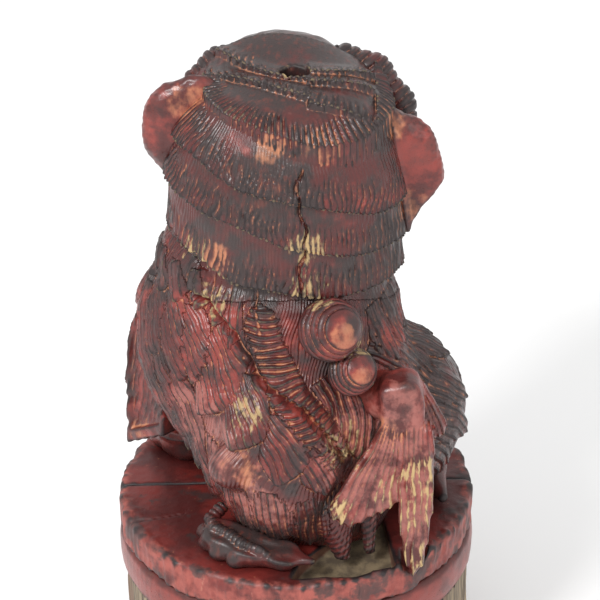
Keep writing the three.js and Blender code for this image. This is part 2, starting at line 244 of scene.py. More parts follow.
def smoothed(values, quads, rounds):
    """Values at the vertices, averaged with their neighbours a number of times."""
    ends = np.concatenate([quads, np.roll(quads, -1, axis=1)]).reshape(-1)
    others = np.concatenate([np.roll(quads, -1, axis=1), quads]).reshape(-1)
    count = np.maximum(np.bincount(ends, minlength=len(values)), 1)
    for _ in range(rounds):
        near = [np.bincount(ends, weights=values[others, k], minlength=len(values)) for k in range(3)]
        values = 0.4 * values + 0.6 * np.stack(near, 1) / count[:, None]
    return values


def normals_of(points, quads):
    """The outward direction at each vertex."""
    corners = points[quads]
    face = np.cross(corners[:, 2] - corners[:, 0], corners[:, 3] - corners[:, 1])
    total = np.stack([
        np.bincount(quads.reshape(-1), weights=np.repeat(face[:, k], 4), minlength=len(points))
        for k in range(3)
    ], 1)
    return total / np.maximum(np.linalg.norm(total, axis=1, keepdims=True), 1e-9)


def zone(points, daubs):
    """How much each point lies under soft round daubs, given as (place, radius), from 0 to 1."""
    share = np.zeros(len(points))
    for place, radius in daubs:
        away = np.linalg.norm(points - array(*place), axis=1)
        share = np.maximum(share, 1 - ramp(0.45 * radius, 1.1 * radius, away))
    return share


DAUBS = {
    "soot": [((0, -12, 232), 50), ((-38, 10, 214), 26), ((-44, 14, 140), 32), ((8, 46, 190), 26),
             ((-58, 10, 60), 44), ((-66, -20, 60), 44), ((60, -8, 130), 22),
             ((10, 68, 13), 14), ((26, 61, 15), 14), ((40, 54, 12), 10), ((20, 44, 140), 20)],
    "warm": [((46, 0, 214), 14), ((-44, 4, 204), 15), ((-24, 64, 122), 12), ((-33, 64, 101), 9),
             ((26, 62, 52), 16), ((-15, 38, 210), 12), ((8, 40, 209), 11), ((36, 38, 152), 11),
             ((-56, 6, 160), 14), ((-44, 62, 72), 10), ((71, -10, 26), 14)],
    "dust": [((-8, 46, 160), 13), ((50, 36, 150), 18), ((40, 44, 132), 20), ((-22, 60, 62), 18),
             ((-58, 66, 40), 30), ((-20, 74, 34), 12), ((-28, 48, 112), 16), ((22, 64, 84), 14),
             ((-10, 48, 140), 14), ((20, 60, 70), 14), ((-56, 70, 4), 16), ((-3, 0, 224), 11)],
    "rose": [((-38, 66, 60), 36), ((-56, 66, 30), 36), ((16, 62, 32), 26), ((52, 46, 70), 26),
             ((36, 56, 60), 24), ((-50, 62, 84), 16)],
}


def weather_and_shade(points, quads):
    """Depth below (+) or above (-) the smoothed surface, at a fine and a broad scale, in mm; the broad depth
    also paints shade into the hollows.
    """
    normals = normals_of(points, quads)
    fine = smoothed(points.astype(float), quads, int(FINE_ROUNDS / COARSE))
    broad = smoothed(fine, quads, int(BROAD_ROUNDS / COARSE))
    marks = {name: zone(points, daubs) for name, daubs in DAUBS.items()}
    marks["groove"] = ((fine - points) * normals).sum(1)
    # Broad hollow depth: drives painted shade in the finishes, as well as dust and wear.
    marks["hollow"] = ((broad - points) * normals).sum(1)
    return marks


# ---- Body ----------------------------------------------------------------------------------------

def body_mass(p):
    """Distance to the body without its fur: trunk, haunches, shoulders, rump and the left neck."""
    q = turned(p, BODY_TURN)
    d = egg(q, (2, 5, NECK / 2 - 2), (54, 52, NECK / 2 + 20))
    d = merge(d, egg(q, (2, -4, NECK - 20), (52, 50, 46)), 14)
    d = merge(d, egg(q, (35, 24, 52), (27, 38, 50)), 10)
    d = merge(d, egg(q, (37, -28, 84), (24, 36, 50)), 12)
    d = merge(d, egg(q, (-36, 26, 44), (39, 40, 41)), 8)
    d = merge(d, egg(q, (-27, -26, 84), (20, 30, 46)), 12)
    d = merge(d, egg(p, (-36, 24, 56), (25, 30, 44)), 10)
    d = merge(d, egg(p, (-14, 32, 14), (32, 27, 26)), 10)
    return merge(d, egg(p, (42, 2, 137), (19, 27, 21)), 8)


def on_body(around, z):
    """The place on the body's surface at an angle round from the back, in degrees, and a height."""
    a = math.radians(around)
    reach = np.linspace(20, 110, 400, dtype=np.float32)
    ray = np.stack((reach * math.sin(a), reach * math.cos(a), np.full_like(reach, z)), 1)
    inside = body_mass(ray) < 0
    return ray[np.flatnonzero(inside)[-1]] if inside.any() else ray[0]


STRAND = 1.9                            # pitch of the finest strands of fur, mm


class Carving:
    """Something carved along a path over the body: knows distance along and across it."""

    def __init__(self, path, width):
        self.places = np.array([on_body(*place) for place in path])
        self.steps = np.diff(self.places, axis=0)
        self.lengths = np.linalg.norm(self.steps, axis=1)
        self.length = float(self.lengths.sum())
        self.width = width
        self.low = self.places.min(0) - width - 6
        self.high = self.places.max(0) + width + 6

    def near(self, p):
        return np.flatnonzero(np.all((p > self.low) & (p < self.high), axis=1))

    def along_and_across(self, p):
        """Fraction of the way along, and distance across (positive to the path's left side)."""
        best = np.full(len(p), 1e9, np.float32)
        along = np.zeros(len(p), np.float32)
        across = np.zeros(len(p), np.float32)
        done = 0.0
        last = len(self.steps) - 1
        for i, (start, step, length) in enumerate(zip(self.places, self.steps, self.lengths)):
            unit = step / length
            out = (start + step / 2) * array(1, 1, 0)
            out = out - unit * (out @ unit)
            out /= np.linalg.norm(out)
            q = p - start
            far = q @ unit
            held = np.clip(far, 0 if i else -length, length if i < last else 2 * length)
            away = q - held[:, None] * unit
            side = away @ np.cross(out, unit)
            depth = away @ out
            gap = np.sqrt(side * side + (far - held) ** 2) + np.where(depth < -24, 1e6, 0)
            closer = gap < best
            best = np.where(closer, gap, best)
            along = np.where(closer, (done + held) / self.length, along)
            across = np.where(closer, side, across)
            done += length
        return along, np.where(best > 1e5, 1e6, across)


class Lock(Carving):
    """A lock of fur from its buried root to its proud tip, combed at a slant across it."""

    def __init__(self, path, width, rise=3.4, slant=0, depth=0.8, bend=0.0, pointed=True):
        super().__init__(path, width)
        self.rise, self.depth, self.bend, self.pointed = rise, depth, bend, pointed
        self.slant = math.radians(slant)

    def relief(self, p):
        """Height of the lock above the body, and which strand each point lies on."""
        s, across = self.along_and_across(p)
        across = across - self.bend * self.length * 4 * s * (1 - s)
        if self.pointed:
            half = np.sqrt(np.clip(s * 1.5 + 0.25, 0, 1)) * np.clip((1 - s) * 3, 0, 1) ** 0.6
        else:
            half = np.clip(np.minimum(s, 1 - s) * 12, 0, 1) ** 0.5
        t = across / np.maximum(self.width / 2 * half, 0.05)
        inside = (s > 0) & (s < 1) & (np.abs(t) < 1)
        crown = self.rise * (0.4 + 0.6 * np.clip(s, 0, 1)) * np.clip(1 - t * t, 0, 1) ** 0.3
        over = across * math.cos(self.slant) + s * self.length * math.sin(self.slant)
        strand = (over + 1.2 * t * t * math.sin(self.slant)) / STRAND + 0.3 * waves(p, 14, 4)
        return np.where(inside, crown - self.depth * scoop(strand / 2), -10), strand


class Groove(Carving):
    """A deep V cut along a path."""

    def __init__(self, path, width, depth):
        super().__init__(path, width)
        self.depth = depth

    def depth_at(self, p):
        """How deep the cut is at each point."""
        s, across = self.along_and_across(p)
        fade = np.clip(np.minimum(s, 1 - s) * 10, 0, 1)
        return self.depth * fade * np.clip(1 - np.abs(across) / (self.width / 2), 0, 1)


SPINE_LINE = [(65, 130), (49, 126), (30, 116), (18, 98), (-4, 85), (-16, 66), (-24, 45)]

LOCKS = [
    # long strands that sweep down the left flank
    Lock([(92, 118), (84, 82), (64, 38)], 18, 3.6, 0, 0.9, 0.05),
    Lock([(84, 112), (72, 74), (52, 34)], 17, 4.0, -3, 0.9, 0.05),
    Lock([(76, 104), (60, 66), (40, 30)], 17, 4.4, -6, 0.9, 0.04),
    # shoulder
    Lock([(82, 130), (74, 88)], 19, 3.4, -10, 0.7),
    Lock([(70, 128), (58, 82)], 22, 4.4, -20, 0.8),
    Lock([(58, 122), (50, 84)], 22, 5.0, -30, 0.8, 0.08),
    # blades along the spine line, lowest first
    Lock([(-6, 74), (-12, 42)], 26, 4.6, -18, 1.0, 0.10),
    Lock([(6, 84), (6, 50)], 25, 4.8, -32, 1.0, 0.10),
    Lock([(20, 98), (26, 62)], 27, 5.2, -40, 0.9, 0.10),
    Lock([(33, 120), (46, 70)], 28, 5.8, -45, 0.9, 0.07),
    # lower haunch
    Lock([(38, 60), (46, 22)], 22, 3.4, -25, 0.8),
    Lock([(26, 44), (24, 8)], 24, 3.0, 0, 1.2),
    Lock([(10, 44), (8, 8)], 24, 3.0, 0, 1.2),
    Lock([(-4, 40), (-6, 6)], 22, 2.8, 0, 1.2),
    # beside the tail
    Lock([(-12, 94), (-30, 50)], 19, 4.0, 22, 1.3, 0.12),
    # right haunch, combed round it
    Lock([(-44, 104), (-78, 70)], 24, 3.0, 8, 1.0, 0.05),
    Lock([(-50, 86), (-88, 52)], 24, 3.4, 8, 1.0, 0.05),
    Lock([(-48, 66), (-86, 34)], 24, 3.6, 8, 1.0, 0.05),
    Lock([(-46, 46), (-80, 14)], 24, 3.6, 8, 1.0, 0.05),
    # the ladder of short strands down the spine
    Lock([(20, 130), (13, 112), (3, 92), (-11, 70), (-21, 53)], 17, 4.4, 104, 1.7, 0.0, False),
]
FRINGE = ((92, 144, 88, 122), (80, 144, 77, 121), (68, 143, 66, 121), (56, 141, 54, 121),
          (45, 140, 41, 116), (36, 136, 31, 108))    # ends of the mane fringe on the left shoulder
for turn, height, tip_turn, tip_height in FRINGE:
    LOCKS.append(Lock([(turn, height), (tip_turn, tip_height)], 11, 3.8))
for row, height in enumerate((124, 104, 84, 64, 44)):
    for turn in range(104 + 8 * (row % 2), 262, 16):
        LOCKS.append(Lock([(turn, height), (turn, height - 30)], 20, 3.0))
for row, height in enumerate((120, 98)):
    for turn in range(-98 + 8 * (row % 2), -52, 15):
        LOCKS.append(Lock([(turn, height), (turn - 3, height - 28)], 18, 2.8))
GROOVES = [
    Groove(SPINE_LINE, 4.0, 4.2),
    Groove([(24, 146), (21, 127), (16, 116)], 2.4, 1.6),
]
KNOB = on_body(24, 51)
UPPER_CURL = body_point(18, 49, NECK - 9)
LOWER_CURL = body_point(12.5, 58, NECK - 30)
HANGING_LOCKS = (((-17, 55, 26), (-22, 64, 1), 13, 4), ((-34, 53, 26), (-35, 61, 3), 5.5, 3.2))


def body_fur(p):
    """Height of the fur above the body's plain mass, and which strand each point lies on."""
    low, high = p.min(0), p.max(0)
    around = np.arctan2(p[:, 0], p[:, 1])
    strand = (around * 60 + p[:, 2] * 0.3) / STRAND + 0.6 * waves(p, 24, 8)
    height = -0.5 * scoop(strand / 2) * ramp(-0.3, 0.5, waves(p, 34, 9))
    for lock in LOCKS:
        if np.all(lock.high > low) and np.all(lock.low < high):
            some = lock.near(p)
            if len(some):
                rise, combed = lock.relief(p[some])
                won = rise > height[some]
                height[some[won]] = rise[won]
                strand[some[won]] = combed[won]
    for groove in GROOVES:
        some = groove.near(p)
        if len(some):
            height[some] -= groove.depth_at(p[some])
    return height + 0.35 * waves(p, 11, 2) + 0.12 * waves(p, 4, 6), strand


def body_field(p):
    """The body with its fur, the knob on the haunch and the locks that hang under the tail."""
    d = body_mass(p)
    near = np.abs(d) < 9
    if near.any():
        d[near] -= body_fur(p[near])[0]
    d = merge(d, egg(p, KNOB - array(0, 3, 0), (13, 9, 12)) + 0.2 * waves(p, 9, 7), 3)
    for root, tip, r0, r1 in HANGING_LOCKS:
        curve = np.hypot(p[:, 0] - root[0] - 8, p[:, 2] - root[2] - 6) / 2.7
        d = merge(d, limb(p, root, tip, r0, r1, (1, 0.8, 1)) + 0.55 * scoop(curve), 1.2)
    return d


# ---- Head and mane -------------------------------------------------------------------------------

HEAD_AXIS = (4.0, -1.0)
MANE_WIDTH, MANE_DEPTH = 56.0, 46.0
DOME_START = 168.0
TIER_TURNS = (-180, -90, -50, -25, 0, 30, 60, 90, 180)
TIERS = [                                       # heights of each tier's lower edge round the head
    (140, 129, 131, 133, 135.5, 141, 150, 152, 150),
    (160, 145, 150, 156, 162, 171, 178, 180, 175),
    (180, 166, 171, 178, 183, 192, 199, 202, 195),
]
TOP_TIER = (56, 54, 48.5, 43.5, 38, 34, 34, 35, 50)   # the top tier, as distance from the axis
CROWN_TIERS = [                                # (side, place back, bow, middle): right side is -1
    (-1, 24.0, 0.006, -16.0),
    (1, 20.0, 0.010, -8.0),
    (-1, 10.0, 0.008, -8.0),
    (1, 7.0, 0.020, -2.0),
    (-1, 1.0, 0.020, -13.0),
]
PARTING = -9.0


def mane_form(p):
    """The head's plain mass, and each point's angle round from the back."""
    x = p[:, 0] - HEAD_AXIS[0] + 0.05 * (p[:, 2] - NECK)
    x = np.where(x > 0, x * (1 + 0.045 * ramp(172, 150, p[:, 2])), x)
    y = p[:, 1] - HEAD_AXIS[1]
    z = p[:, 2]
    forward = 1 + 0.45 * ramp(0, 30, -y)
    ring = np.sqrt((x / MANE_WIDTH) ** 2 + (y / MANE_DEPTH / forward) ** 2)
    rise = np.maximum(z - DOME_START, 0) / (CROWN - 1 - DOME_START)
    power = 2.7 + 0.6 * ramp(0, 30, -y)
    whole = (ring ** power + rise ** power) ** (1 / power)
    d = (whole - 1) * 48 + 1.7
    return merge(d, egg(p, (6, -34, 194), (40, 36, 40)), 10), np.arctan2(x, y)


def shingle(above, step, long, lean, p, depth=1.0):
    """Height of a hair tier: proud at its lower edge, with cords of hair that fade upwards."""
    strokes = 1.25 * depth * (1 - scoop(lean)) ** 1.2
    strokes = strokes * (1 - 0.8 * ramp(0.4 * long, 0.85 * long, above + 3 * waves(p, 14, 5)))
    return step * np.clip(1 - above / (long + 2), 0, 1) ** 1.2 - strokes


def mane_relief(p, around):
    """Height of the hair tiers, round the head and over the crown, above the head's plain mass."""
    strand = around * 52 / 3.1 + 0.5 * waves(p, 30, 3)
    z = p[:, 2]
    degrees = np.degrees(around)
    lift = 0.25 * waves(p, 10, 12) - 3.5 * ramp(-20, 0, p[:, 1])
    for i, heights in enumerate(TIERS):
        edge = np.interp(degrees, TIER_TURNS, heights) + 1.2 * waves(p, 45, 11 + i)
        lean = strand + (z - edge) * (0.03 + 0.06 * ramp(0, 1.2, around)) + 0.35 * waves(p, 13, 31 + i)
        above = z - edge + 1.1 * scoop(lean) - 0.6
        lift = np.where(above > 0, shingle(above, 3.8, 23, lean, p) + 0.2 * waves(p, 12, i), lift)
    away = np.hypot(p[:, 0] - 4, p[:, 1])
    top_edge = np.interp(degrees, TIER_TURNS, TOP_TIER)
    above = 1.25 * (top_edge - away) + 1.0 * scoop(strand * 0.8) - 0.5
    above = np.where(z > 188, above, -1)
    lift = np.where(above > 0, shingle(above, 3.4, 15, strand * 0.8, p), lift)
    on_crown = above > 0
    for side, back, bow, middle in CROWN_TIERS:
        x = p[:, 0]
        this_side = x < PARTING if side < 0 else x > PARTING - 1.5
        edge = back - bow * (x - middle) ** 2 - (0.25 * (x - middle) if side > 0 else 0)
        lean = x / 3.1 + 0.4 * waves(p, 20, 21)
        above = edge - p[:, 1] + 0.8 * scoop(lean)
        here = on_crown & this_side & (above > 0) & (np.abs(x) < 41)
        lift = np.where(here, shingle(above, 2.6, 11, lean, p, 0.8), lift)
    return lift


def crack(p):
    """The drying crack that wanders down the back of the head."""
    wander = -5.5 + 1.6 * np.sin(p[:, 2] / 7.0) + 0.8 * np.sin(p[:, 2] / 2.3)
    span = ramp(126, 134, p[:, 2]) * (1 - ramp(196, 202, p[:, 2])) * ramp(10, 20, p[:, 1])
    wide = 0.75 + 0.9 * ramp(0, 1, waves(p, 16, 14))
    return 2.6 * span * np.clip(1 - np.abs(p[:, 0] - wander) / wide, 0, 1)


def mane_field(p):
    """The head with its hair, cut off at the face joint and eased towards the body."""
    d, around = mane_form(p)
    near = np.abs(d) < 9
    if near.any():
        some = p[near]
        d[near] -= mane_relief(some, around[near]) - crack(some)
    underside = NECK - 1 - 8 * ramp(-15, 10, p[:, 1])
    under = both(d, underside - p[:, 2], 3 + 7 * ramp(0, 25, -p[:, 1]))
    return both(under, FACE_JOINT - p[:, 1], 1 + 15 * (1 - ramp(195, 220, p[:, 2])))


SOCKET_X, SOCKET_RADIUS, SOCKET_DEPTH = -3.5, 7.0, 40.0


def socket_field(p):
    """The hole drilled down into the crown."""
    away = np.hypot(p[:, 0] - SOCKET_X + 0.35 * np.sin(p[:, 2] / 3), p[:, 1])
    return np.maximum(away - SOCKET_RADIUS - 0.35 * waves(p, 7, 31), CROWN - SOCKET_DEPTH - p[:, 2])


def figure_field(p):
    """Body and mane in one piece of wood, flat underneath."""
    d = merge(body_field(p), mane_field(p), 2.5)
    d = cut(d, socket_field(p), 1.2)
    return np.maximum(d, 0.4 - p[:, 2])


# ---- Turning fields into pieces ------------------------------------------------------------------

def mesh_of(name, points, quads, marks, lift):
    """A mesh in metres in the row frame, with the weathering and the hollow depth for painted shade stored
    on its vertices.
    """
    mesh = bpy.data.meshes.new(name)
    placed = (points + array(0, 0, lift)) * MM
    mesh.vertices.add(len(points))
    mesh.vertices.foreach_set("co", placed.astype(np.float32).reshape(-1))
    mesh.loops.add(quads.size)
    mesh.loops.foreach_set("vertex_index", quads.astype(np.int32).reshape(-1))
    mesh.polygons.add(len(quads))
    mesh.polygons.foreach_set("loop_start", np.arange(0, quads.size, 4, dtype=np.int32))
    mesh.update(calc_edges=True)
    for key, values in marks.items():
        layer = mesh.attributes.new(key, "FLOAT", "POINT")
        layer.data.foreach_set("value", np.asarray(values, np.float32))
    mesh.validate()
    mesh.shade_smooth()
    return mesh


def saw(mesh, name, planes):
    """A copy of a mesh that keeps only what lies behind each plane, closed with flat saw cuts."""
    work = bmesh.new()
    work.from_mesh(mesh)
    for place, normal in planes:
        result = bmesh.ops.bisect_plane(
            work, geom=work.verts[:] + work.edges[:] + work.faces[:], dist=1e-7,
            plane_co=Vector(place) * MM, plane_no=Vector(normal), clear_outer=True)
        rim = [e for e in result["geom_cut"] if isinstance(e, bmesh.types.BMEdge)]
        if rim:
            cap = bmesh.ops.triangle_fill(work, edges=rim, use_beauty=False, normal=Vector(normal))
            for item in cap["geom"]:
                if isinstance(item, bmesh.types.BMFace):
                    item.smooth = False
            for edge in rim:
                edge.smooth = False
    part = bpy.data.meshes.new(name)
    work.to_mesh(part)
    work.free()
    return part


PIECES = {}


def piece_of(mesh, node):
    """Shows a mesh in place of a CAD node."""
    piece = bpy.data.objects.new("carved_" + node, mesh)
    bpy.context.scene.collection.objects.link(piece)
    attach(piece, "root")
    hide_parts(node)
    PIECES[node] = piece


def carved(node, field, low, high, voxel, plinth=False):
    """A piece carved whole from its own field, in place of a CAD node."""
    points, quads = sculpt(field, low, high, voxel)
    marks = weather_and_shade(points, quads)
    if plinth:
        marks["rim"] = ramp(PLINTH_RADIUS - 9, PLINTH_RADIUS - 2, from_axis(points))
        sunk = ramp(0.6, 1.6, PLINTH_TOP - points[:, 2])
        inside = 1 - ramp(-0.5, 0.5, outline(points[:, 0], points[:, 1], POCKET, 1))
        marks["pocket"] = sunk * inside * (1 - ramp(0.5, 2.5, PLINTH_TOP - POCKET_DEPTH - points[:, 2]))
        marks.update({name: marks[name] * 0 for name in DAUBS})
    piece_of(mesh_of(node, points, quads, marks, 0 if plinth else PLINTH_TOP), node)


# ---- Carving the lion ----------------------------------------------------------------------------

points, quads = sculpt(figure_field, (-92, -80, -2), (92, 80, CROWN + 6), FIGURE_GRID)
marks = weather_and_shade(points, quads)
around_head = np.arctan2(points[:, 0] - HEAD_AXIS[0], points[:, 1] - HEAD_AXIS[1])
on_head = mane_form(points)[0] < body_mass(points)
marks["strand"] = np.where(on_head, around_head * 52 / STRAND + 0.4 * waves(points, 13, 31),
                           body_fur(points)[1])
marks["combed"] = np.where(on_head, 0.5, 1.0) * (1 - ramp(NECK + 84, NECK + 92, points[:, 2]))
whole_figure = mesh_of("figure", points, quads, marks, PLINTH_TOP)


def body_plane(x, y, normal_x, normal_y):
    """An upright saw plane, placed and turned with the body."""
    place = body_point(x, y, 0)
    c, s = math.cos(BODY_TURN), math.sin(BODY_TURN)
    return (place, (c * normal_x - s * normal_y, s * normal_x + c * normal_y, 0))


def level_plane(z, up):
    return ((0, 0, z + PLINTH_TOP), (0, 0, up))


below_neck = level_plane(NECK, 1)
left_of = body_plane(LEFT_JOINT, 0, -1, 0)
right_of = body_plane(RIGHT_JOINT, 0, 1, 0)
behind = body_plane(0, FLANK_SPLIT, 0, -1)
ahead = body_plane(0, FLANK_SPLIT, 0, 1)
inside_left = body_plane(LEFT_JOINT, 0, 1, 0)
inside_right = body_plane(RIGHT_JOINT, 0, -1, 0)

SAWN = {
    "head_block": [level_plane(NECK, -1), ((0, FACE_JOINT, 0), (0, -1, 0))],
    "core_block": [below_neck, inside_left, inside_right],
    "left_haunch": [below_neck, left_of, behind],
    "left_shoulder": [below_neck, left_of, ahead],
    "right_haunch": [below_neck, right_of, behind],
    "right_shoulder": [below_neck, right_of, ahead],
}

for node, planes in SAWN.items():
    piece_of(saw(whole_figure, node, planes), node)
bpy.data.meshes.remove(whole_figure)


# ---- Ears and brow curls -------------------------------------------------------------------------

LEFT_EAR = ((41, -2, 215), (51, -4, 206), (54, -5, 191), (49, -5, 166))
RIGHT_EAR = ((-42, 1, 200), (-53, 1, 190), (-58, 2, 175), (-52, 3, 148))
LEFT_BROW = ((18, -35, 220), (32, -31, 217), (43, -26, 211))
RIGHT_BROW = ((-27, -36, 217), (-41, -33, 211), (-52, -26, 198), (-56, -21, 187))


def ear(p, places, radii, hollow_at):
    """An ear that runs through several places, hollowed on the side of the face."""
    d = chain(p, places, radii, (1, 0.62, 1), 7)
    d = cut(d, egg(p, hollow_at, (8, 8, 19)), 3)
    return d + 0.35 * waves(p, 13, 41) + 0.12 * waves(p, 4, 42)


def left_ear(p):
    d = ear(p, LEFT_EAR, (11, 13, 10.5, 3.5), (53, -15, 194))
    return both(d, (p[:, 1] - 3.8) * 0.93 + (p[:, 2] - 205) * 0.12, 4)


def right_ear(p):
    d = ear(p, RIGHT_EAR, (11, 12.5, 11.5, 5), (-61, -12, 178))
    d = both(d, (p[:, 1] - 7.0) * 0.98 - (p[:, 2] - 176) * 0.15, 2)
    ridge = np.abs(p[:, 0] + 50 - 0.12 * (p[:, 2] - 190)) + 3 * ramp(196, 206, p[:, 2])
    return d - 1.6 * np.clip(1 - ridge / 3, 0, 1) * ramp(0, 3, p[:, 1])


def brow_curl(p, places, radii):
    """A roll of hair over the brow, scalloped along its length."""
    run = array(*places[-1]) - array(*places[0])
    phase = p @ (run / np.linalg.norm(run)) / 4.2
    curl_up = egg(p, array(*places[0]) + array(0, -3, -5), (9, 8, 9))
    d = merge(chain(p, places, radii, (1, 1, 1), 5), curl_up, 4)
    return d + 1.4 * notch(phase + 0.1 * waves(p, 12, 43))


carved("left_ear", left_ear, (30, -22, 160), (76, 16, 232), SMALL_GRID)
carved("right_ear", right_ear, (-80, -20, 144), (-26, 20, 218), SMALL_GRID)
carved("left_brow_curl", lambda p: brow_curl(p, LEFT_BROW, (7, 8, 6.5)),
       (2, -50, 196), (56, -14, 236), SMALL_GRID)
carved("right_brow_curl", lambda p: brow_curl(p, RIGHT_BROW, (7, 8, 7.5, 6)),
       (-70, -52, 178), (-14, -10, 234), SMALL_GRID)


# ---- Face, in the rolled head frame: the right half repeats the left -----------------------------

EYE = (18, -61, 56)
EYE_RADIUS = 7.0
MOUTH_RISE = 25.0


def curl_boss(p, centre, radius, facing, pitch=26):
    """A round curl with cords that run round its cap."""
    q = p - array(*centre)
    away = np.linalg.norm(q, axis=1)
    axis = array(*facing) / np.linalg.norm(facing)
    angle = np.degrees(np.arccos(np.clip(q @ axis / np.maximum(away, 1e-6), -1, 1)))
    sideways = np.arctan2(q[:, 0], q[:, 2]) / (2 * math.pi)
    turns = (angle - 30) / pitch + sideways
    return away - radius + 0.14 * radius * notch(turns) * ramp(14, 30, angle)


def face(p):
    """Forehead, brows, muzzle, nose, eye sockets, cheek curls and upper teeth."""
    m = mirrored(rolled(p))
    x, y, z = m[:, 0], m[:, 1], m[:, 2]
    d = merge(egg(m, (0, -34, 44), (43, 30, 45)), egg(p, (3, -30, 200), (39, 30, 32)), 8)
    d = merge(d, egg(m, (25, -48, 40), (14, 14, 15)), 6)
    brow = chain(m, [(5, -63, 67), (17, -66, 73), (30, -56, 74), (38, -42, 64)], (6, 8, 8, 6), soft=5)
    d = merge(d, brow + 1.2 * notch((x + 0.5 * z) / 4.4), 4)
    d = merge(d, limb(m, (0, -54, 66), (0, -70, 54), 8, 9), 6)
    d = merge(d, egg(m, (13, -64, 38), (16, 15, 11)), 4)
    d = merge(d, egg(m, (0, -74, 50), (10, 7, 7)), 3)
    d = merge(d, egg(m, (8, -73, 48), (5.5, 6.5, 5.5)), 2)
    d = cut(d, egg(m, (6, -80, 46), (2.8, 4.5, 2.4)), 1)
    d = cut(d, egg(m, (18, -71, 57), (10.5, 9, 7.5)), 2)
    away = np.hypot(x - EYE[0], (z - EYE[2]) * 1.2)
    lid = np.hypot(away - EYE_RADIUS - 2, y - EYE[1] + 1.5) - 2.3
    d = merge(d, lid, 1.5)
    for turn in range(24, 158, 22):
        c, s = math.cos(math.radians(turn)), math.sin(math.radians(turn))
        d = merge(d, curl_boss(m, (43 * s, -37, 44 + 43 * c), 10.5, (0.6 * s, -0.75, 0.5 * c)), 1.0)
        if turn > 60:
            d = merge(d, curl_boss(m, (34 * s, -46, 40 + 35 * c), 7.5, (0.5 * s, -0.8, 0.4 * c)), 1.0)
    whisker = notch(np.hypot(x - 4, z - 46) / 4.0) * ramp(8, 14, x) * ramp(-60, -66, y)
    d = d + 0.8 * whisker * (1 - ramp(44, 48, z)) + 0.25 * waves(p, 9, 51)
    palate = both(z - MOUTH_RISE + 0.004 * x * x, y + 40, 2)
    d = cut(d, palate, 1.5)
    for tooth, size in (((15.5, -70), 3.4), ((3.2, -75.5), 2.6), ((9.2, -73.5), 2.6)):
        tip = 9 if size > 3 else 4
        d = merge(d, limb(m, (*tooth, MOUTH_RISE + 2), (*tooth, MOUTH_RISE - tip), size, 0.7), 0.6)
    d = np.maximum(d, p[:, 1] - (FACE_JOINT - JOINT_GAP))
    return np.maximum(d, NECK + JOINT_GAP - p[:, 2])


def lower_jaw(p):
    """The jaw with its lip, lower teeth and the locks of the beard."""
    m = mirrored(rolled(p))
    x, z = m[:, 0], m[:, 2]
    d = egg(m, (0, -48, 12), (21, 25, 9))
    lip = chain(m, [(20, -38, 16), (19, -56, 16), (11, -69, 16), (0, -73, 16)], (3.4, 3.4, 3.4, 3.4))
    d = merge(d, lip, 3)
    d = cut(d, egg(m, (0, -50, 22), (15, 19, 9)), 1.5)
    for tooth, size in (((3.2, -71), 2.5), ((9, -68.5), 2.5), ((15, -63), 3.0)):
        d = merge(d, limb(m, (*tooth, 14), (*tooth, 22), size, 1.0), 0.6)
    for x0, width in ((0, 5.5), (9, 5.0), (17, 4.5)):
        root = (x0, -64 + 0.3 * x0, 9)
        bend = (x0 * 1.05, -70 + 0.4 * x0, 1)
        tip = (x0 * 1.1, -67 + 0.5 * x0, -5)
        beard = chain(m, [root, bend, tip], (width, width, 1.4))
        d = merge(d, beard + 0.7 * notch(x / 2.4 + 0.1 * z), 1.0)
    return d + 0.2 * waves(p, 9, 52)


def tongue(p):
    """A raised tongue with a groove down its middle."""
    m = mirrored(rolled(p))
    d = chain(m, [(0, -42, 19), (0, -58, 20.5), (0, -69, 23)], (5.5, 6.5, 4.5), (1.3, 1, 0.45))
    return d + 0.9 * np.clip(1 - m[:, 0] / 1.6, 0, 1) * ramp(18, 21, m[:, 2])


def eyeball(side):
    """An eye with a drilled pupil, on the left (1) or right (-1)."""
    def field(p):
        h = rolled(p) * array(side, 1, 1)
        d = egg(h, EYE, (EYE_RADIUS, EYE_RADIUS, EYE_RADIUS))
        pupil = np.hypot(h[:, 0] - EYE[0], h[:, 2] - EYE[2] + 0.6)
        drilled = both(pupil - 2.0, h[:, 1] + 66.5, 0.5)
        return cut(d, drilled, 0.6) + 0.3 * np.clip(1 - np.abs(pupil - 4.2) / 0.8, 0, 1)
    return field


carved("face_block", face, (-54, -90, NECK - 2), (60, -26, NECK + 108), SMALL_GRID)
carved("lower_jaw", lower_jaw, (-30, -84, NECK - 16), (34, -18, NECK + 32), SMALL_GRID)
carved("tongue", tongue, (-14, -80, NECK + 8), (18, -32, NECK + 34), SMALL_GRID)
carved("left_eye", eyeball(1), (2, -72, NECK + 44), (38, -50, NECK + 72), SMALL_GRID)
carved("right_eye", eyeball(-1), (-34, -72, NECK + 38), (0, -50, NECK + 66), SMALL_GRID)


# ---- Legs, in the turned body frame --------------------------------------------------------------

def resting(p, d):
    """Cut flat where it stands on the plinth."""
    return np.maximum(d, 0.35 - p[:, 2])


def foreleg(side):
    """A straight leg with toes and claws, on the left (1) or right (-1)."""
    def field(p):
        q = turned(p, BODY_TURN) * array(side, 1, 1)
        d = chain(q, [(28, -42, 98), (27, -48, 62), (22, -55, 30), (21, -58, 8)], (14, 14.5, 12, 11), soft=6)
        d = merge(d, egg(q, (20, -62, 9), (14, 17, 11)), 5)
        for k in (-9, -3, 3, 9):
            d = merge(d, egg(q, (20 + k, -76 + 0.05 * k * k, 6), (3.6, 6, 6)), 1.2)
            d = merge(d, limb(q, (20 + k, -78, 4), (20 + k, -83, 1.5), 1.6, 0.5), 0.6)
        fur = scoop(q[:, 0] / 4.2 + 0.04 * q[:, 2] + 0.4 * waves(p, 22, 61))
        d = d + 0.8 * fur * ramp(18, 30, q[:, 2]) * ramp(-50, -38, q[:, 1])
        cuff = np.clip(1 - np.abs(q[:, 2] - 20 - 0.1 * q[:, 1]) / 3, 0, 1)
        return resting(p, d - 1.2 * cuff + 0.3 * waves(p, 12, 62))
    return field


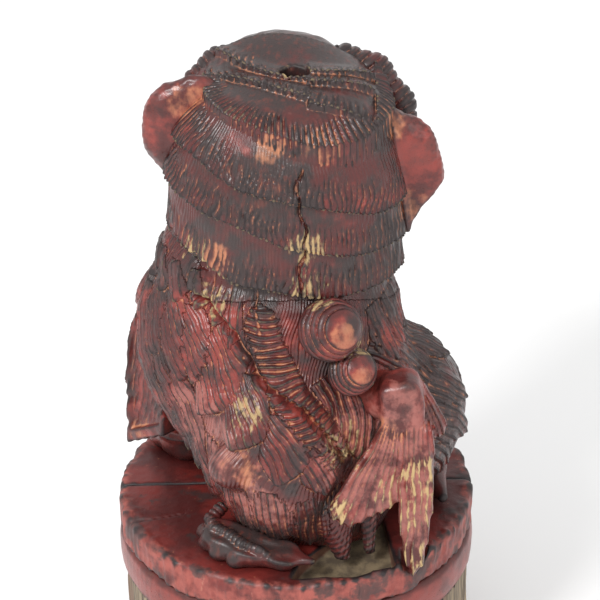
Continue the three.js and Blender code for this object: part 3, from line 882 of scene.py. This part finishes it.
def serrated(p, places, radii, pitch):
    """A narrow ridge notched like a comb along its length."""
    d = None
    for i in range(len(places) - 1):
        run = array(*places[i + 1]) - array(*places[i])
        phase = (p - array(*places[i])) @ (run / np.linalg.norm(run)) / pitch
        part = limb(p, places[i], places[i + 1], radii[i], radii[i + 1]) + 1.15 * notch(phase)
        d = part if d is None else merge(d, part, 1.0)
    return d


def left_hind_paw(p):
    """A paw that lies flat, with a notched fringe of fur along its top."""
    blade = chain(p, [(-7, 76, 7), (6, 71, 8), (22, 64, 8), (36, 56, 8)], (1.8, 7, 9, 9), soft=4)
    blade = both(blade, (p[:, 2] - 10.8) * 0.97 + (p[:, 1] - 66) * 0.22, 1.5)
    d = blade
    for toe in ((43, 47, 5), (42, 55, 5), (37, 63, 4.5), (29, 69, 4)):
        d = merge(d, egg(p, toe, (5, 4.6, 4.4)), 2.2)
    ridge = [(36, 42, 15), (41, 47, 12), (38, 55, 12), (31, 60, 11), (26, 66, 11), (18, 71, 10),
             (9, 76, 6)]
    d = merge(d, serrated(p, ridge, (3.4, 3.4, 3.4, 3.2, 3.0, 2.6, 1.6), 2.8), 0.7)
    return resting(p, d + 0.3 * waves(p, 7, 63))


def right_hind_paw(p):
    """The other paw, turned outward, with longer toes."""
    q = turned(p, BODY_TURN)
    d = chain(q, [(-40, 64, 6), (-50, 42, 8), (-58, 18, 8), (-62, 4, 8)], (2.5, 9, 11, 11), soft=4)
    d = both(d, q[:, 2] - 14, 2)
    for toe in ((-56, -7, 6), (-63, -9, 6), (-69, -4, 5.5)):
        d = merge(d, egg(q, toe, (4.5, 7, 6)), 1.2)
    ridge = [(-52, 4, 13), (-60, 8, 14), (-68, 8, 11), (-66, 22, 11), (-62, 36, 10)]
    d = merge(d, serrated(q, ridge, (3.2, 3.4, 3.2, 2.8, 1.8), 2.8), 1.0)
    return resting(p, d + 0.2 * waves(p, 8, 64))


carved("left_foreleg", foreleg(1), (20, -72, -2), (86, 8, 118), LEG_GRID)
carved("right_foreleg", foreleg(-1), (-20, -92, -2), (44, -14, 118), LEG_GRID)
carved("left_hind_paw", left_hind_paw, (-14, 28, -2), (66, 90, 22), SMALL_GRID)
carved("right_hind_paw", right_hind_paw, (-80, -66, -2), (-26, 36, 22), SMALL_GRID)


# ---- Drape, tail and back curls ------------------------------------------------------------------

DRAPE = ((-63, 6), (-36, 6), (-34, 60), (-40, 92), (-54, 100), (-66, 66))


def left_side_drape(p):
    """A flap of the mane that hangs free of the left shoulder, with a raised border."""
    q = turned(p, BODY_TURN)
    above = q[:, 2] - 18 - 0.6 * (q[:, 1] + 63)
    edge = both(outline(q[:, 1], q[:, 2], DRAPE, 4), -above, 0.8)
    ledge = np.minimum(ramp(-4.5, -2.5, edge) + ramp(8, 6.5, above), 1)
    thick = 5.0 + 2.2 * ledge + 2.0 * ramp(60, 90, q[:, 2])
    bulge = 47 - 0.04 * (q[:, 2] - 50)
    strand = scoop(q[:, 1] / 3.4 - 0.07 * q[:, 2] + 0.3 * waves(p, 20, 71))
    d = both(edge, np.abs(q[:, 0] - bulge) - thick, 1.6)
    return d + 0.8 * strand * ramp(8, 12, above) + 0.2 * waves(p, 7, 72)


KNUCKLE = ((-40, 93), (-57, 96), (-62, 87), (-61, 69), (-41, 69))
FAN = ((-42, 76), (-14, 33), (-23, 22), (-50, 31), (-53, 72))
PLUME = ((-49, 75), (-67, 73), (-67, 36), (-61.5, -3), (-55, -8), (-50, 0), (-47, 33))
SIDE_LOCK = ((-57, 90), (-63, 88), (-75, 58), (-68, 51), (-57, 64))


def lock_of(p, corners, pivot, lie, thick, strands):
    """A flat lock of the tail. Its strands spread from a pivot; lie gives its middle plane."""
    x, z = p[:, 0] - pivot[0], p[:, 2] - pivot[1]
    level, lean_x, lean_z = lie
    depth = np.abs(p[:, 1] - level - lean_x * x - lean_z * z)
    edge = outline(p[:, 0], p[:, 2], corners)
    strand = np.arctan2(x, -z) * strands + 0.25 * waves(p, 22, 73)
    body = both(edge, depth - thick / 2 - 0.12 * np.clip(-edge, 0, 9), 3.5)
    return body + (1.0 * scoop(strand) + 0.6 * scoop(strand * 0.37)) * ramp(12, 22, np.hypot(x, z))


def tail(p):
    """The knuckle that bends over, with the fan, the long plume and a side lock under it."""
    fan = lock_of(p, FAN, (-52, 92), (56, 0.25, -0.12), 9, 16)
    plume = lock_of(p, PLUME, (-56, 150), (49.5, 0.0, -0.115), 12, 38)
    side_lock = lock_of(p, SIDE_LOCK, (-52, 112), (50, 0.45, 0.0), 7, 24)
    edge = outline(p[:, 0], p[:, 2], KNUCKLE, 5)
    knuckle = both(edge, np.abs(p[:, 1] - 53 + 0.08 * (p[:, 2] - 80)) - 9.5, 5)
    root = limb(p, (-49, 52, 82), (-32, 32, 76), 11, 14)
    d = merge(np.minimum(fan, side_lock), plume, 1.0)
    d = merge(d, root, 3)
    return merge(d, knuckle, 1.2) + 0.15 * waves(p, 8, 74)


def back_curl(p, centre, radius, facing):
    """A bun of hair: a smooth cap with round cords behind it."""
    q = p - array(*centre)
    away = np.linalg.norm(q, axis=1)
    axis = array(*facing) / np.linalg.norm(facing)
    angle = np.degrees(np.arccos(np.clip(q @ axis / np.maximum(away, 1e-6), -1, 1)))
    cords = 1.7 * notch((angle - 40) / 15) * ramp(36, 42, angle)
    cap = 0.9 * (1 - ramp(36, 41, angle))
    return away - radius - cap + cords + 0.2 * waves(p, 8, 75)


carved("left_side_drape", left_side_drape, (50, -32, 10), (98, 8, 104), SMALL_GRID)
carved("tail", tail, (-84, 34, -14), (-6, 84, 104), SMALL_GRID)
carved("upper_back_curl", lambda p: back_curl(p, UPPER_CURL, 15.2, (-0.48, 0.75, 0.45)),
       UPPER_CURL - 20, UPPER_CURL + 20, SMALL_GRID)
carved("lower_back_curl", lambda p: back_curl(p, LOWER_CURL, 11.6, (-0.44, 0.75, 0.55)),
       LOWER_CURL - 16, LOWER_CURL + 16, SMALL_GRID)


# ---- Plinth, measured from the floor -------------------------------------------------------------

POCKET = ((3, 80), (-28, 79), (-47, 70), (-42, 31), (-37, 26), (-18, 48), (-4, 61))    # under the tail
POCKET_DEPTH = 9.0


def disc(p, radius, low, high, soft):
    """A round board with eased edges."""
    ring = from_axis(p) - radius
    return both(ring, np.abs(p[:, 2] - (low + high) / 2) - (high - low) / 2, soft)


def let_tail_in(p, d):
    """A board with the slot cut for the tail's lowest lock."""
    slot = both(outline(p[:, 0], p[:, 2] - PLINTH_TOP, PLUME) - 1, 56 - p[:, 1], 1)
    return cut(d, slot, 0.8)


def top_board(p):
    """Both halves of the top: chipped rim, sloping pocket, slot for the tail and a short split."""
    chips = 0.45 * waves(p, 20, 81) + 0.3 * waves(p, 7, 82)
    d = disc(p, PLINTH_RADIUS - 1.0, BAND_TOP + LAYER_GAP, PLINTH_TOP, 3)
    rim = ramp(PLINTH_RADIUS - 12, PLINTH_RADIUS - 3, from_axis(p))
    strokes = 0.3 * waves(stretched(p, 0.2), 5, 92) * ramp(PLINTH_TOP - 1, PLINTH_TOP - 4, p[:, 2])
    d = d + rim * (chips + strokes) + 0.25 * waves(p, 24, 83) + 0.08 * waves(p, 6, 84)
    floor_slope = 2.5 + (POCKET_DEPTH - 2.5) * ramp(30, 78, p[:, 1])
    pocket = both(outline(p[:, 0], p[:, 1], POCKET, 1), PLINTH_TOP - floor_slope - p[:, 2], 0.5)
    d = let_tail_in(p, cut(d, pocket, 0.6))
    split = np.abs(p[:, 1] - 14 - 0.18 * p[:, 0] - 1.5 * np.sin(p[:, 0] / 9))
    split = split + 3 * ramp(60, 40, p[:, 0])
    return d + 1.8 * np.clip(1 - split / 0.9, 0, 1) * ramp(PLINTH_TOP - 4, PLINTH_TOP, p[:, 2])


def front_board(p):
    return both(top_board(p), p[:, 1] - (BOARD_SEAM - LAYER_GAP), 0.9)


def rear_board(p):
    return both(top_board(p), (BOARD_SEAM + LAYER_GAP) - p[:, 1], 0.9)


def band(p):
    """The round moulding under the top board."""
    middle = (DRUM_TOP + BAND_TOP) / 2
    bulge = 1.6 - 1.8 * ((p[:, 2] - middle) / 10) ** 2
    d = disc(p, PLINTH_RADIUS - 1.4 + bulge * 0.7, DRUM_TOP + LAYER_GAP, BAND_TOP - LAYER_GAP, 3)
    return let_tail_in(p, d) + 0.3 * waves(p, 26, 86) + 0.08 * waves(p, 6, 87)


def drum(p):
    """The plinth's trunk: upright grain, faint gouge facets and a few open checks."""
    around = np.arctan2(p[:, 0], p[:, 1])
    upright = stretched(p, 0.15)
    grain = 0.35 * waves(upright, 5, 88) + 0.25 * waves(upright, 2.6, 89)
    facets = 0.5 * scoop(around * 22 / math.pi)
    d = disc(p, DRUM_RADIUS - 0.4, FOOT_TOP + LAYER_GAP, DRUM_TOP - LAYER_GAP, 1.5)
    for turn, wide in ((0.5, 0.8), (-0.9, 0.6), (2.4, 0.9), (-2.2, 0.7), (3.9, 0.6)):
        gap = np.abs(np.sin((around - turn) / 2)) * 2 * DRUM_RADIUS + 0.5 * np.sin(p[:, 2] / 6 + turn)
        d = d + 2.2 * np.clip(1 - gap / wide, 0, 1)
    return d + (grain + facets) * ramp(DRUM_RADIUS - 5, DRUM_RADIUS - 1, from_axis(p))


def foot_board(p):
    d = disc(p, PLINTH_RADIUS - 0.8, 0.0, FOOT_TOP - LAYER_GAP, 3.5)
    rim = ramp(PLINTH_RADIUS - 10, PLINTH_RADIUS - 3, from_axis(p))
    d = d + rim * (0.5 * waves(p, 18, 90) + 0.3 * waves(p, 7, 91)) * ramp(1, 4, p[:, 2])
    return np.maximum(d, -p[:, 2])


REACH = PLINTH_RADIUS + 3
for node, field, low, high in (
    ("plinth_top_front", front_board, (-REACH, -REACH, BAND_TOP - 2), (REACH, 3, PLINTH_TOP + 4)),
    ("plinth_top_rear", rear_board, (-REACH, -6, BAND_TOP - 2), (REACH, REACH, PLINTH_TOP + 4)),
    ("plinth_band_board", band, (-REACH, -REACH, DRUM_TOP - 2), (REACH, REACH, BAND_TOP + 2)),
    ("plinth_drum", drum, (-REACH, -REACH, FOOT_TOP - 2), (REACH, REACH, DRUM_TOP + 2)),
    ("plinth_foot_board", foot_board, (-REACH, -REACH, -3), (REACH, REACH, FOOT_TOP + 2)),
):
    carved(node, field, low, high, PLINTH_GRID, plinth=True)


# ---- Finishes ------------------------------------------------------------------------------------

def paint(red, green, blue):
    """A colour given as display values from 0 to 255."""
    linear = [((v / 255 + 0.055) / 1.055) ** 2.4 if v > 10 else v / 255 / 12.92 for v in (red, green, blue)]
    return (*linear, 1)


class Wire:
    """A value that a node gives. Sums written with wires add the Math nodes they need."""

    def __init__(self, finish, socket):
        self.finish = finish
        self.socket = socket

    def maths(self, operation, first, second):
        return self.finish.node("ShaderNodeMath", {"operation": operation}, {0: first, 1: second})

    def __add__(self, other):
        return self.maths("ADD", self, other)

    def __radd__(self, other):
        return self.maths("ADD", other, self)

    def __sub__(self, other):
        return self.maths("SUBTRACT", self, other)

    def __rsub__(self, other):
        return self.maths("SUBTRACT", other, self)

    def __mul__(self, other):
        return self.maths("MULTIPLY", self, other)

    def __rmul__(self, other):
        return self.maths("MULTIPLY", other, self)


class Finish:
    """One material, built node by node round its surface shader."""

    def __init__(self, name):
        self.material = bpy.data.materials.new(name)
        self.material.use_nodes = True
        self.tree = self.material.node_tree
        self.surface = self.tree.nodes["Principled BSDF"]
        self.place = self.node("ShaderNodeTexCoord", {}, {}, "Object")

    def node(self, kind, settings, inputs, output=0):
        node = self.tree.nodes.new(kind)
        for key, value in settings.items():
            setattr(node, key, value)
        for key, value in inputs.items():
            self.feed(node.inputs[key], value)
        return Wire(self, node.outputs[output])

    def feed(self, socket, value):
        if isinstance(value, Wire):
            self.tree.links.new(value.socket, socket)
        else:
            socket.default_value = value

    def maths_of(self, operation, value):
        """A Math node that takes one value."""
        return self.node("ShaderNodeMath", {"operation": operation}, {0: value})

    def mark(self, name):
        """A value stored on the piece's vertices."""
        return self.node("ShaderNodeAttribute", {"attribute_name": name}, {}, "Fac")

    def mottle(self, size, detail=3.0, stretch=(1, 1, 1), shift=0.0):
        """Cloudy variation from 0 to 1, of a given size in millimetres."""
        place = self.node("ShaderNodeVectorMath", {"operation": "MULTIPLY"}, {0: self.place, 1: stretch})
        place = self.node("ShaderNodeVectorMath", {"operation": "ADD"}, {0: place, 1: (shift, shift, shift)})
        inputs = {"Vector": place, "Scale": 1 / (size * MM), "Detail": detail, "Roughness": 0.6}
        return self.node("ShaderNodeTexNoise", {}, inputs)

    def step(self, value, low, high):
        """0 below low, 1 above high, eased between."""
        inputs = {"Value": value, "From Min": low, "From Max": high}
        return self.node("ShaderNodeMapRange", {"interpolation_type": "SMOOTHSTEP"}, inputs)

    def blend(self, share, under, over):
        return self.node("ShaderNodeMix", {"data_type": "RGBA"}, {0: share, 6: under, 7: over}, 2)

    def bumps(self, height, depth):
        """Fine relief, its height from 0 to 1 over a depth in millimetres."""
        inputs = {"Height": height, "Strength": 1.0, "Distance": depth * MM}
        self.feed(self.surface.inputs["Normal"], self.node("ShaderNodeBump", {}, inputs))

    def coat(self, colour, roughness):
        self.feed(self.surface.inputs["Base Color"], colour)
        self.feed(self.surface.inputs["Roughness"], roughness)


BRIGHT_RED = paint(130, 53, 46)
ROSE = paint(154, 97, 89)
DEEP_RED = paint(80, 34, 32)
BLACK_RED = paint(30, 19, 20)
SOOT = paint(50, 41, 40)
SMOKED_RED = paint(84, 46, 40)
OLIVE_DUST = paint(120, 104, 80)
OCHRE = paint(176, 148, 104)
BARE_WOOD = paint(186, 122, 88)


def lacquer(name, redness=0.0, grime_and_shade_weight=1.0, dust=1.0, wear=1.0):
    """Old red lacquer: soot in the cuts and painted shade in the broad hollows, dust over the soot, rubbed
    to bare wood where it stands proud.
    """
    finish = Finish(name)
    groove, hollow = finish.mark("groove"), finish.mark("hollow")
    soot_zone, warm_zone = finish.mark("soot"), finish.mark("warm")
    dust_zone, rose_zone = finish.mark("dust"), finish.mark("rose")
    broad = finish.mottle(30, 4.0)
    patch = finish.mottle(9, 5.0, shift=3.0)
    cloud = finish.mottle(15, 6.0, shift=5.0)
    streak = finish.mottle(3.4, 4.0, (1, 1, 0.35), 7.0)
    fine = finish.mottle(0.9, 2.0)
    tone = finish.step(broad * 0.7 + patch * 0.7 + redness * 0.2 - soot_zone * 0.1, 0.62, 0.82)
    colour = finish.blend(tone, DEEP_RED, BRIGHT_RED)
    rosy = finish.step(rose_zone * 0.3 + patch + streak * 0.3, 0.78, 1.02)
    colour = finish.blend(rosy * 0.7, colour, ROSE)
    sooty = finish.step(soot_zone * 0.15 + cloud - rose_zone * 0.12 + hollow * 0.03, 0.42, 0.64)
    smoke = finish.blend(finish.step(streak, 0.5, 0.7), SOOT, SMOKED_RED)
    colour = finish.blend(sooty * (0.85 * grime_and_shade_weight), colour, smoke)
    warm = finish.step(warm_zone * 0.3 + patch * 0.7 + streak * 0.35 - groove * 0.8, 0.7, 0.98)
    colour = finish.blend(warm * 0.7, colour, BARE_WOOD)
    ridge = finish.maths_of("SINE", finish.mark("strand") * (2 * math.pi)) * finish.mark("combed")
    # Soot in the cuts, plus painted shade: the broad-hollow term darkens recesses towards black.
    grime_and_shade = finish.step(groove * (cloud * 7.5) + hollow * 0.42 + patch * 0.5 - ridge * 0.16, 0.4, 1.1)
    colour = finish.blend(grime_and_shade * (0.88 * grime_and_shade_weight), colour, BLACK_RED)
    dusty = finish.step(groove * 1.2 + hollow * 0.08 + streak * 0.8 + dust_zone * 0.22, 0.68, 0.92)
    colour = finish.blend(dusty * (0.55 * dust), colour, OLIVE_DUST)
    chalky = finish.step(dust_zone * 0.28 + streak * 0.9 + groove * 0.4, 0.72, 0.88)
    colour = finish.blend(chalky * (0.75 * dust), colour, OCHRE)
    proud = streak * 0.9 + ridge * 0.12 - groove * 2.2 - hollow * 0.2 + warm_zone * 0.15
    proud = finish.step(proud, 0.72, 1.2)
    colour = finish.blend(proud * (0.75 * wear), colour, BARE_WOOD)
    roughness = 0.22 + grime_and_shade * 0.25 + dusty * 0.22 + fine * 0.16
    finish.coat(colour, roughness)
    finish.surface.inputs["Specular IOR Level"].default_value = 0.45
    finish.bumps(fine * 0.3 + streak * 0.4 + ridge * 0.45, 0.35)
    return finish.material


def board_lacquer():
    """Dark lacquer of the top boards, scratched, and chipped pale and bright along the rim, with painted
    shade in its hollows and in the pocket's corners.
    """
    finish = Finish("board_lacquer")
    groove, hollow, rim = finish.mark("groove"), finish.mark("hollow"), finish.mark("rim")
    broad = finish.mottle(34, 4.0)
    patch = finish.mottle(8, 5.0, shift=2.0)
    scratch = finish.mottle(2.4, 4.0, (1, 1, 0.25), 4.0)
    fine = finish.mottle(0.8, 2.0)
    colour = finish.blend(finish.step(broad, 0.42, 0.62), paint(70, 20, 18), paint(106, 33, 28))
    lit = finish.step(rim * 0.3 + patch * 0.8 + scratch * 0.2, 0.62, 0.95)
    colour = finish.blend(lit, colour, paint(152, 76, 66))
    smoky = finish.step(finish.mottle(14, 6.0, shift=9.0) + rim * 0.08, 0.56, 0.66)
    colour = finish.blend(smoky * 0.75, colour, SOOT)
    colour = finish.blend(finish.step(scratch, 0.66, 0.74) * 0.35, colour, BARE_WOOD)
    # Grime in the cuts, plus painted shade: the hollow term darkens the board's recesses.
    grime_and_shade = finish.step(groove * 1.4 + hollow * 0.25 + patch * 0.3, 0.4, 0.9)
    colour = finish.blend(grime_and_shade, colour, BLACK_RED)
    chip = finish.step(rim * 0.25 + scratch * 0.8 - groove * 0.5, 0.76, 0.86)
    colour = finish.blend(chip * 0.7, colour, ROSE)
    cavity_wood = finish.blend(finish.step(patch, 0.35, 0.65), paint(74, 62, 48), paint(118, 102, 78))
    colour = finish.blend(finish.mark("pocket"), colour, cavity_wood)
    # Painted shade: the pocket's deeper corners darkened towards black.
    colour = finish.blend(finish.mark("pocket") * finish.step(hollow, 0.4, 2.4), colour, BLACK_RED)
    finish.coat(colour, 0.32 + patch * 0.25 + fine * 0.1 + finish.mark("pocket") * 0.3)
    finish.bumps(fine * 0.3 + scratch * 0.7, 0.25)
    return finish.material


def drum_wood():
    """Grey-brown weathered wood, with upright grain."""
    finish = Finish("drum_wood")
    grain = finish.mottle(2.2, 5.0, (1, 1, 0.06))
    broad = finish.mottle(26, 4.0, (1, 1, 0.4), 2.0)
    groove = finish.mark("groove")
    colour = finish.blend(finish.step(grain, 0.35, 0.68), paint(88, 76, 62), paint(146, 130, 108))
    colour = finish.blend(finish.step(broad, 0.5, 0.7) * 0.5, colour, paint(110, 66, 52))
    colour = finish.blend(finish.step(groove * 2 + grain * 0.3, 0.4, 0.8), colour, paint(48, 38, 32))
    finish.coat(colour, 0.62 + grain * 0.25)
    finish.bumps(grain, 0.5)
    return finish.material


def dowel_wood():
    """Bare wood, with its grain along the dowel."""
    finish = Finish("dowel_wood")
    grain = finish.mottle(1.4, 4.0, (1, 1, 0.15))
    finish.coat(finish.blend(grain, paint(150, 112, 70), paint(206, 172, 122)), 0.6 + grain * 0.25)
    finish.bumps(grain, 0.2)
    return finish.material


def eye_lacquer():
    """Black gloss lacquer, with a trace of red under it."""
    finish = Finish("eye_lacquer")
    cloud = finish.mottle(4, 3.0)
    finish.coat(finish.blend(cloud, paint(18, 14, 13), paint(58, 34, 28)), 0.12 + cloud * 0.15)
    finish.bumps(finish.mottle(0.8, 2.0), 0.05)
    return finish.material


FINISHES = {
    "lacquer": lacquer("lacquer"),
    "grimed_lacquer": lacquer("grimed_lacquer", redness=-0.5, grime_and_shade_weight=1.1, dust=1.15, wear=0.7),
    "worn_lacquer": lacquer("worn_lacquer", redness=0.1, grime_and_shade_weight=0.62, dust=1.6, wear=1.2),
    "board_lacquer": board_lacquer(),
    "band_lacquer": lacquer("band_lacquer", redness=0.9, grime_and_shade_weight=0.6, dust=0.7, wear=0.5),
    "drum_wood": drum_wood(),
    "dowel_wood": dowel_wood(),
    "eye_lacquer": eye_lacquer(),
}
OTHER_FINISHES = {
    "head_block": "grimed_lacquer", "left_brow_curl": "grimed_lacquer", "right_brow_curl": "grimed_lacquer",
    "left_ear": "worn_lacquer", "right_ear": "worn_lacquer", "tail": "worn_lacquer",
    "left_hind_paw": "grimed_lacquer", "right_hind_paw": "grimed_lacquer",
    "left_eye": "eye_lacquer", "right_eye": "eye_lacquer",
    "plinth_top_front": "board_lacquer", "plinth_top_rear": "board_lacquer",
    "plinth_foot_board": "board_lacquer", "plinth_band_board": "band_lacquer", "plinth_drum": "drum_wood",
}
for node, piece in PIECES.items():
    slot = OTHER_FINISHES.get(node, "lacquer")
    piece.data.materials.append(FINISHES[slot])
for node, cad_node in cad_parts.items():
    if node not in PIECES:
        for holder in cad_node.material_slots:
            holder.material = FINISHES["dowel_wood"]


# ---- Stage ---------------------------------------------------------------------------------------

SENSOR_WIDTH = 36
FLOOR_REACH = 3.0                       # half the floor's width, m
PALE = 0.85


def look_from(distance, elevation, target, roll, width_seen):
    """A camera behind the lion, sizes in millimetres."""
    camera_data = bpy.data.cameras.new("camera")
    camera = bpy.data.objects.new("camera", camera_data)
    bpy.context.scene.collection.objects.link(camera)
    back = Vector((0, math.cos(elevation), math.sin(elevation)))
    camera.location = (Vector(target) + back * distance) * MM
    turn = back.to_track_quat("Z", "Y").to_matrix() @ Matrix.Rotation(roll, 3, "Z")
    camera.rotation_euler = turn.to_euler()
    camera_data.sensor_width = SENSOR_WIDTH
    camera_data.lens = SENSOR_WIDTH * distance / width_seen
    bpy.context.scene.camera = camera


look_from(distance=1600, elevation=math.radians(31), target=(-4, 0, PLINTH_TOP + 106),
          roll=math.radians(-1.1), width_seen=287.356)

floor_mesh = bpy.data.meshes.new("floor")
floor_corners = [(x * FLOOR_REACH, y * FLOOR_REACH, 0) for x, y in ((-1, -1), (1, -1), (1, 1), (-1, 1))]
floor_mesh.from_pydata(floor_corners, [], [(0, 1, 2, 3)])
floor = bpy.data.objects.new("floor", floor_mesh)
bpy.context.scene.collection.objects.link(floor)
pale = bpy.data.materials.new("pale")
pale.use_nodes = True
pale.node_tree.nodes["Principled BSDF"].inputs["Base Color"].default_value = (PALE, PALE, PALE, 1)
floor.data.materials.append(pale)

world = bpy.data.worlds.new("soft studio")
world.use_nodes = True
world.node_tree.nodes["Background"].inputs["Color"].default_value = (1, 1, 1, 1)
world.node_tree.nodes["Background"].inputs["Strength"].default_value = 1.0
bpy.context.scene.world = world
bpy.context.scene.view_settings.view_transform = "Standard"


def lamp(name, place, aim, size, power):
    """A square lamp; places and size in metres, power in watts."""
    data = bpy.data.lights.new(name, "AREA")
    data.size = size
    data.energy = power
    lamp_object = bpy.data.objects.new(name, data)
    lamp_object.location = place
    lamp_object.rotation_euler = (Vector(place) - Vector(aim)).to_track_quat("Z", "Y").to_euler()
    bpy.context.scene.collection.objects.link(lamp_object)


lion_middle = (0, 0, 0.2)
lamp("key", place=(0.9, 1.2, 1.6), aim=lion_middle, size=0.45, power=32)
lamp("fill", place=(-1.3, 1.0, 1.0), aim=lion_middle, size=1.2, power=6)
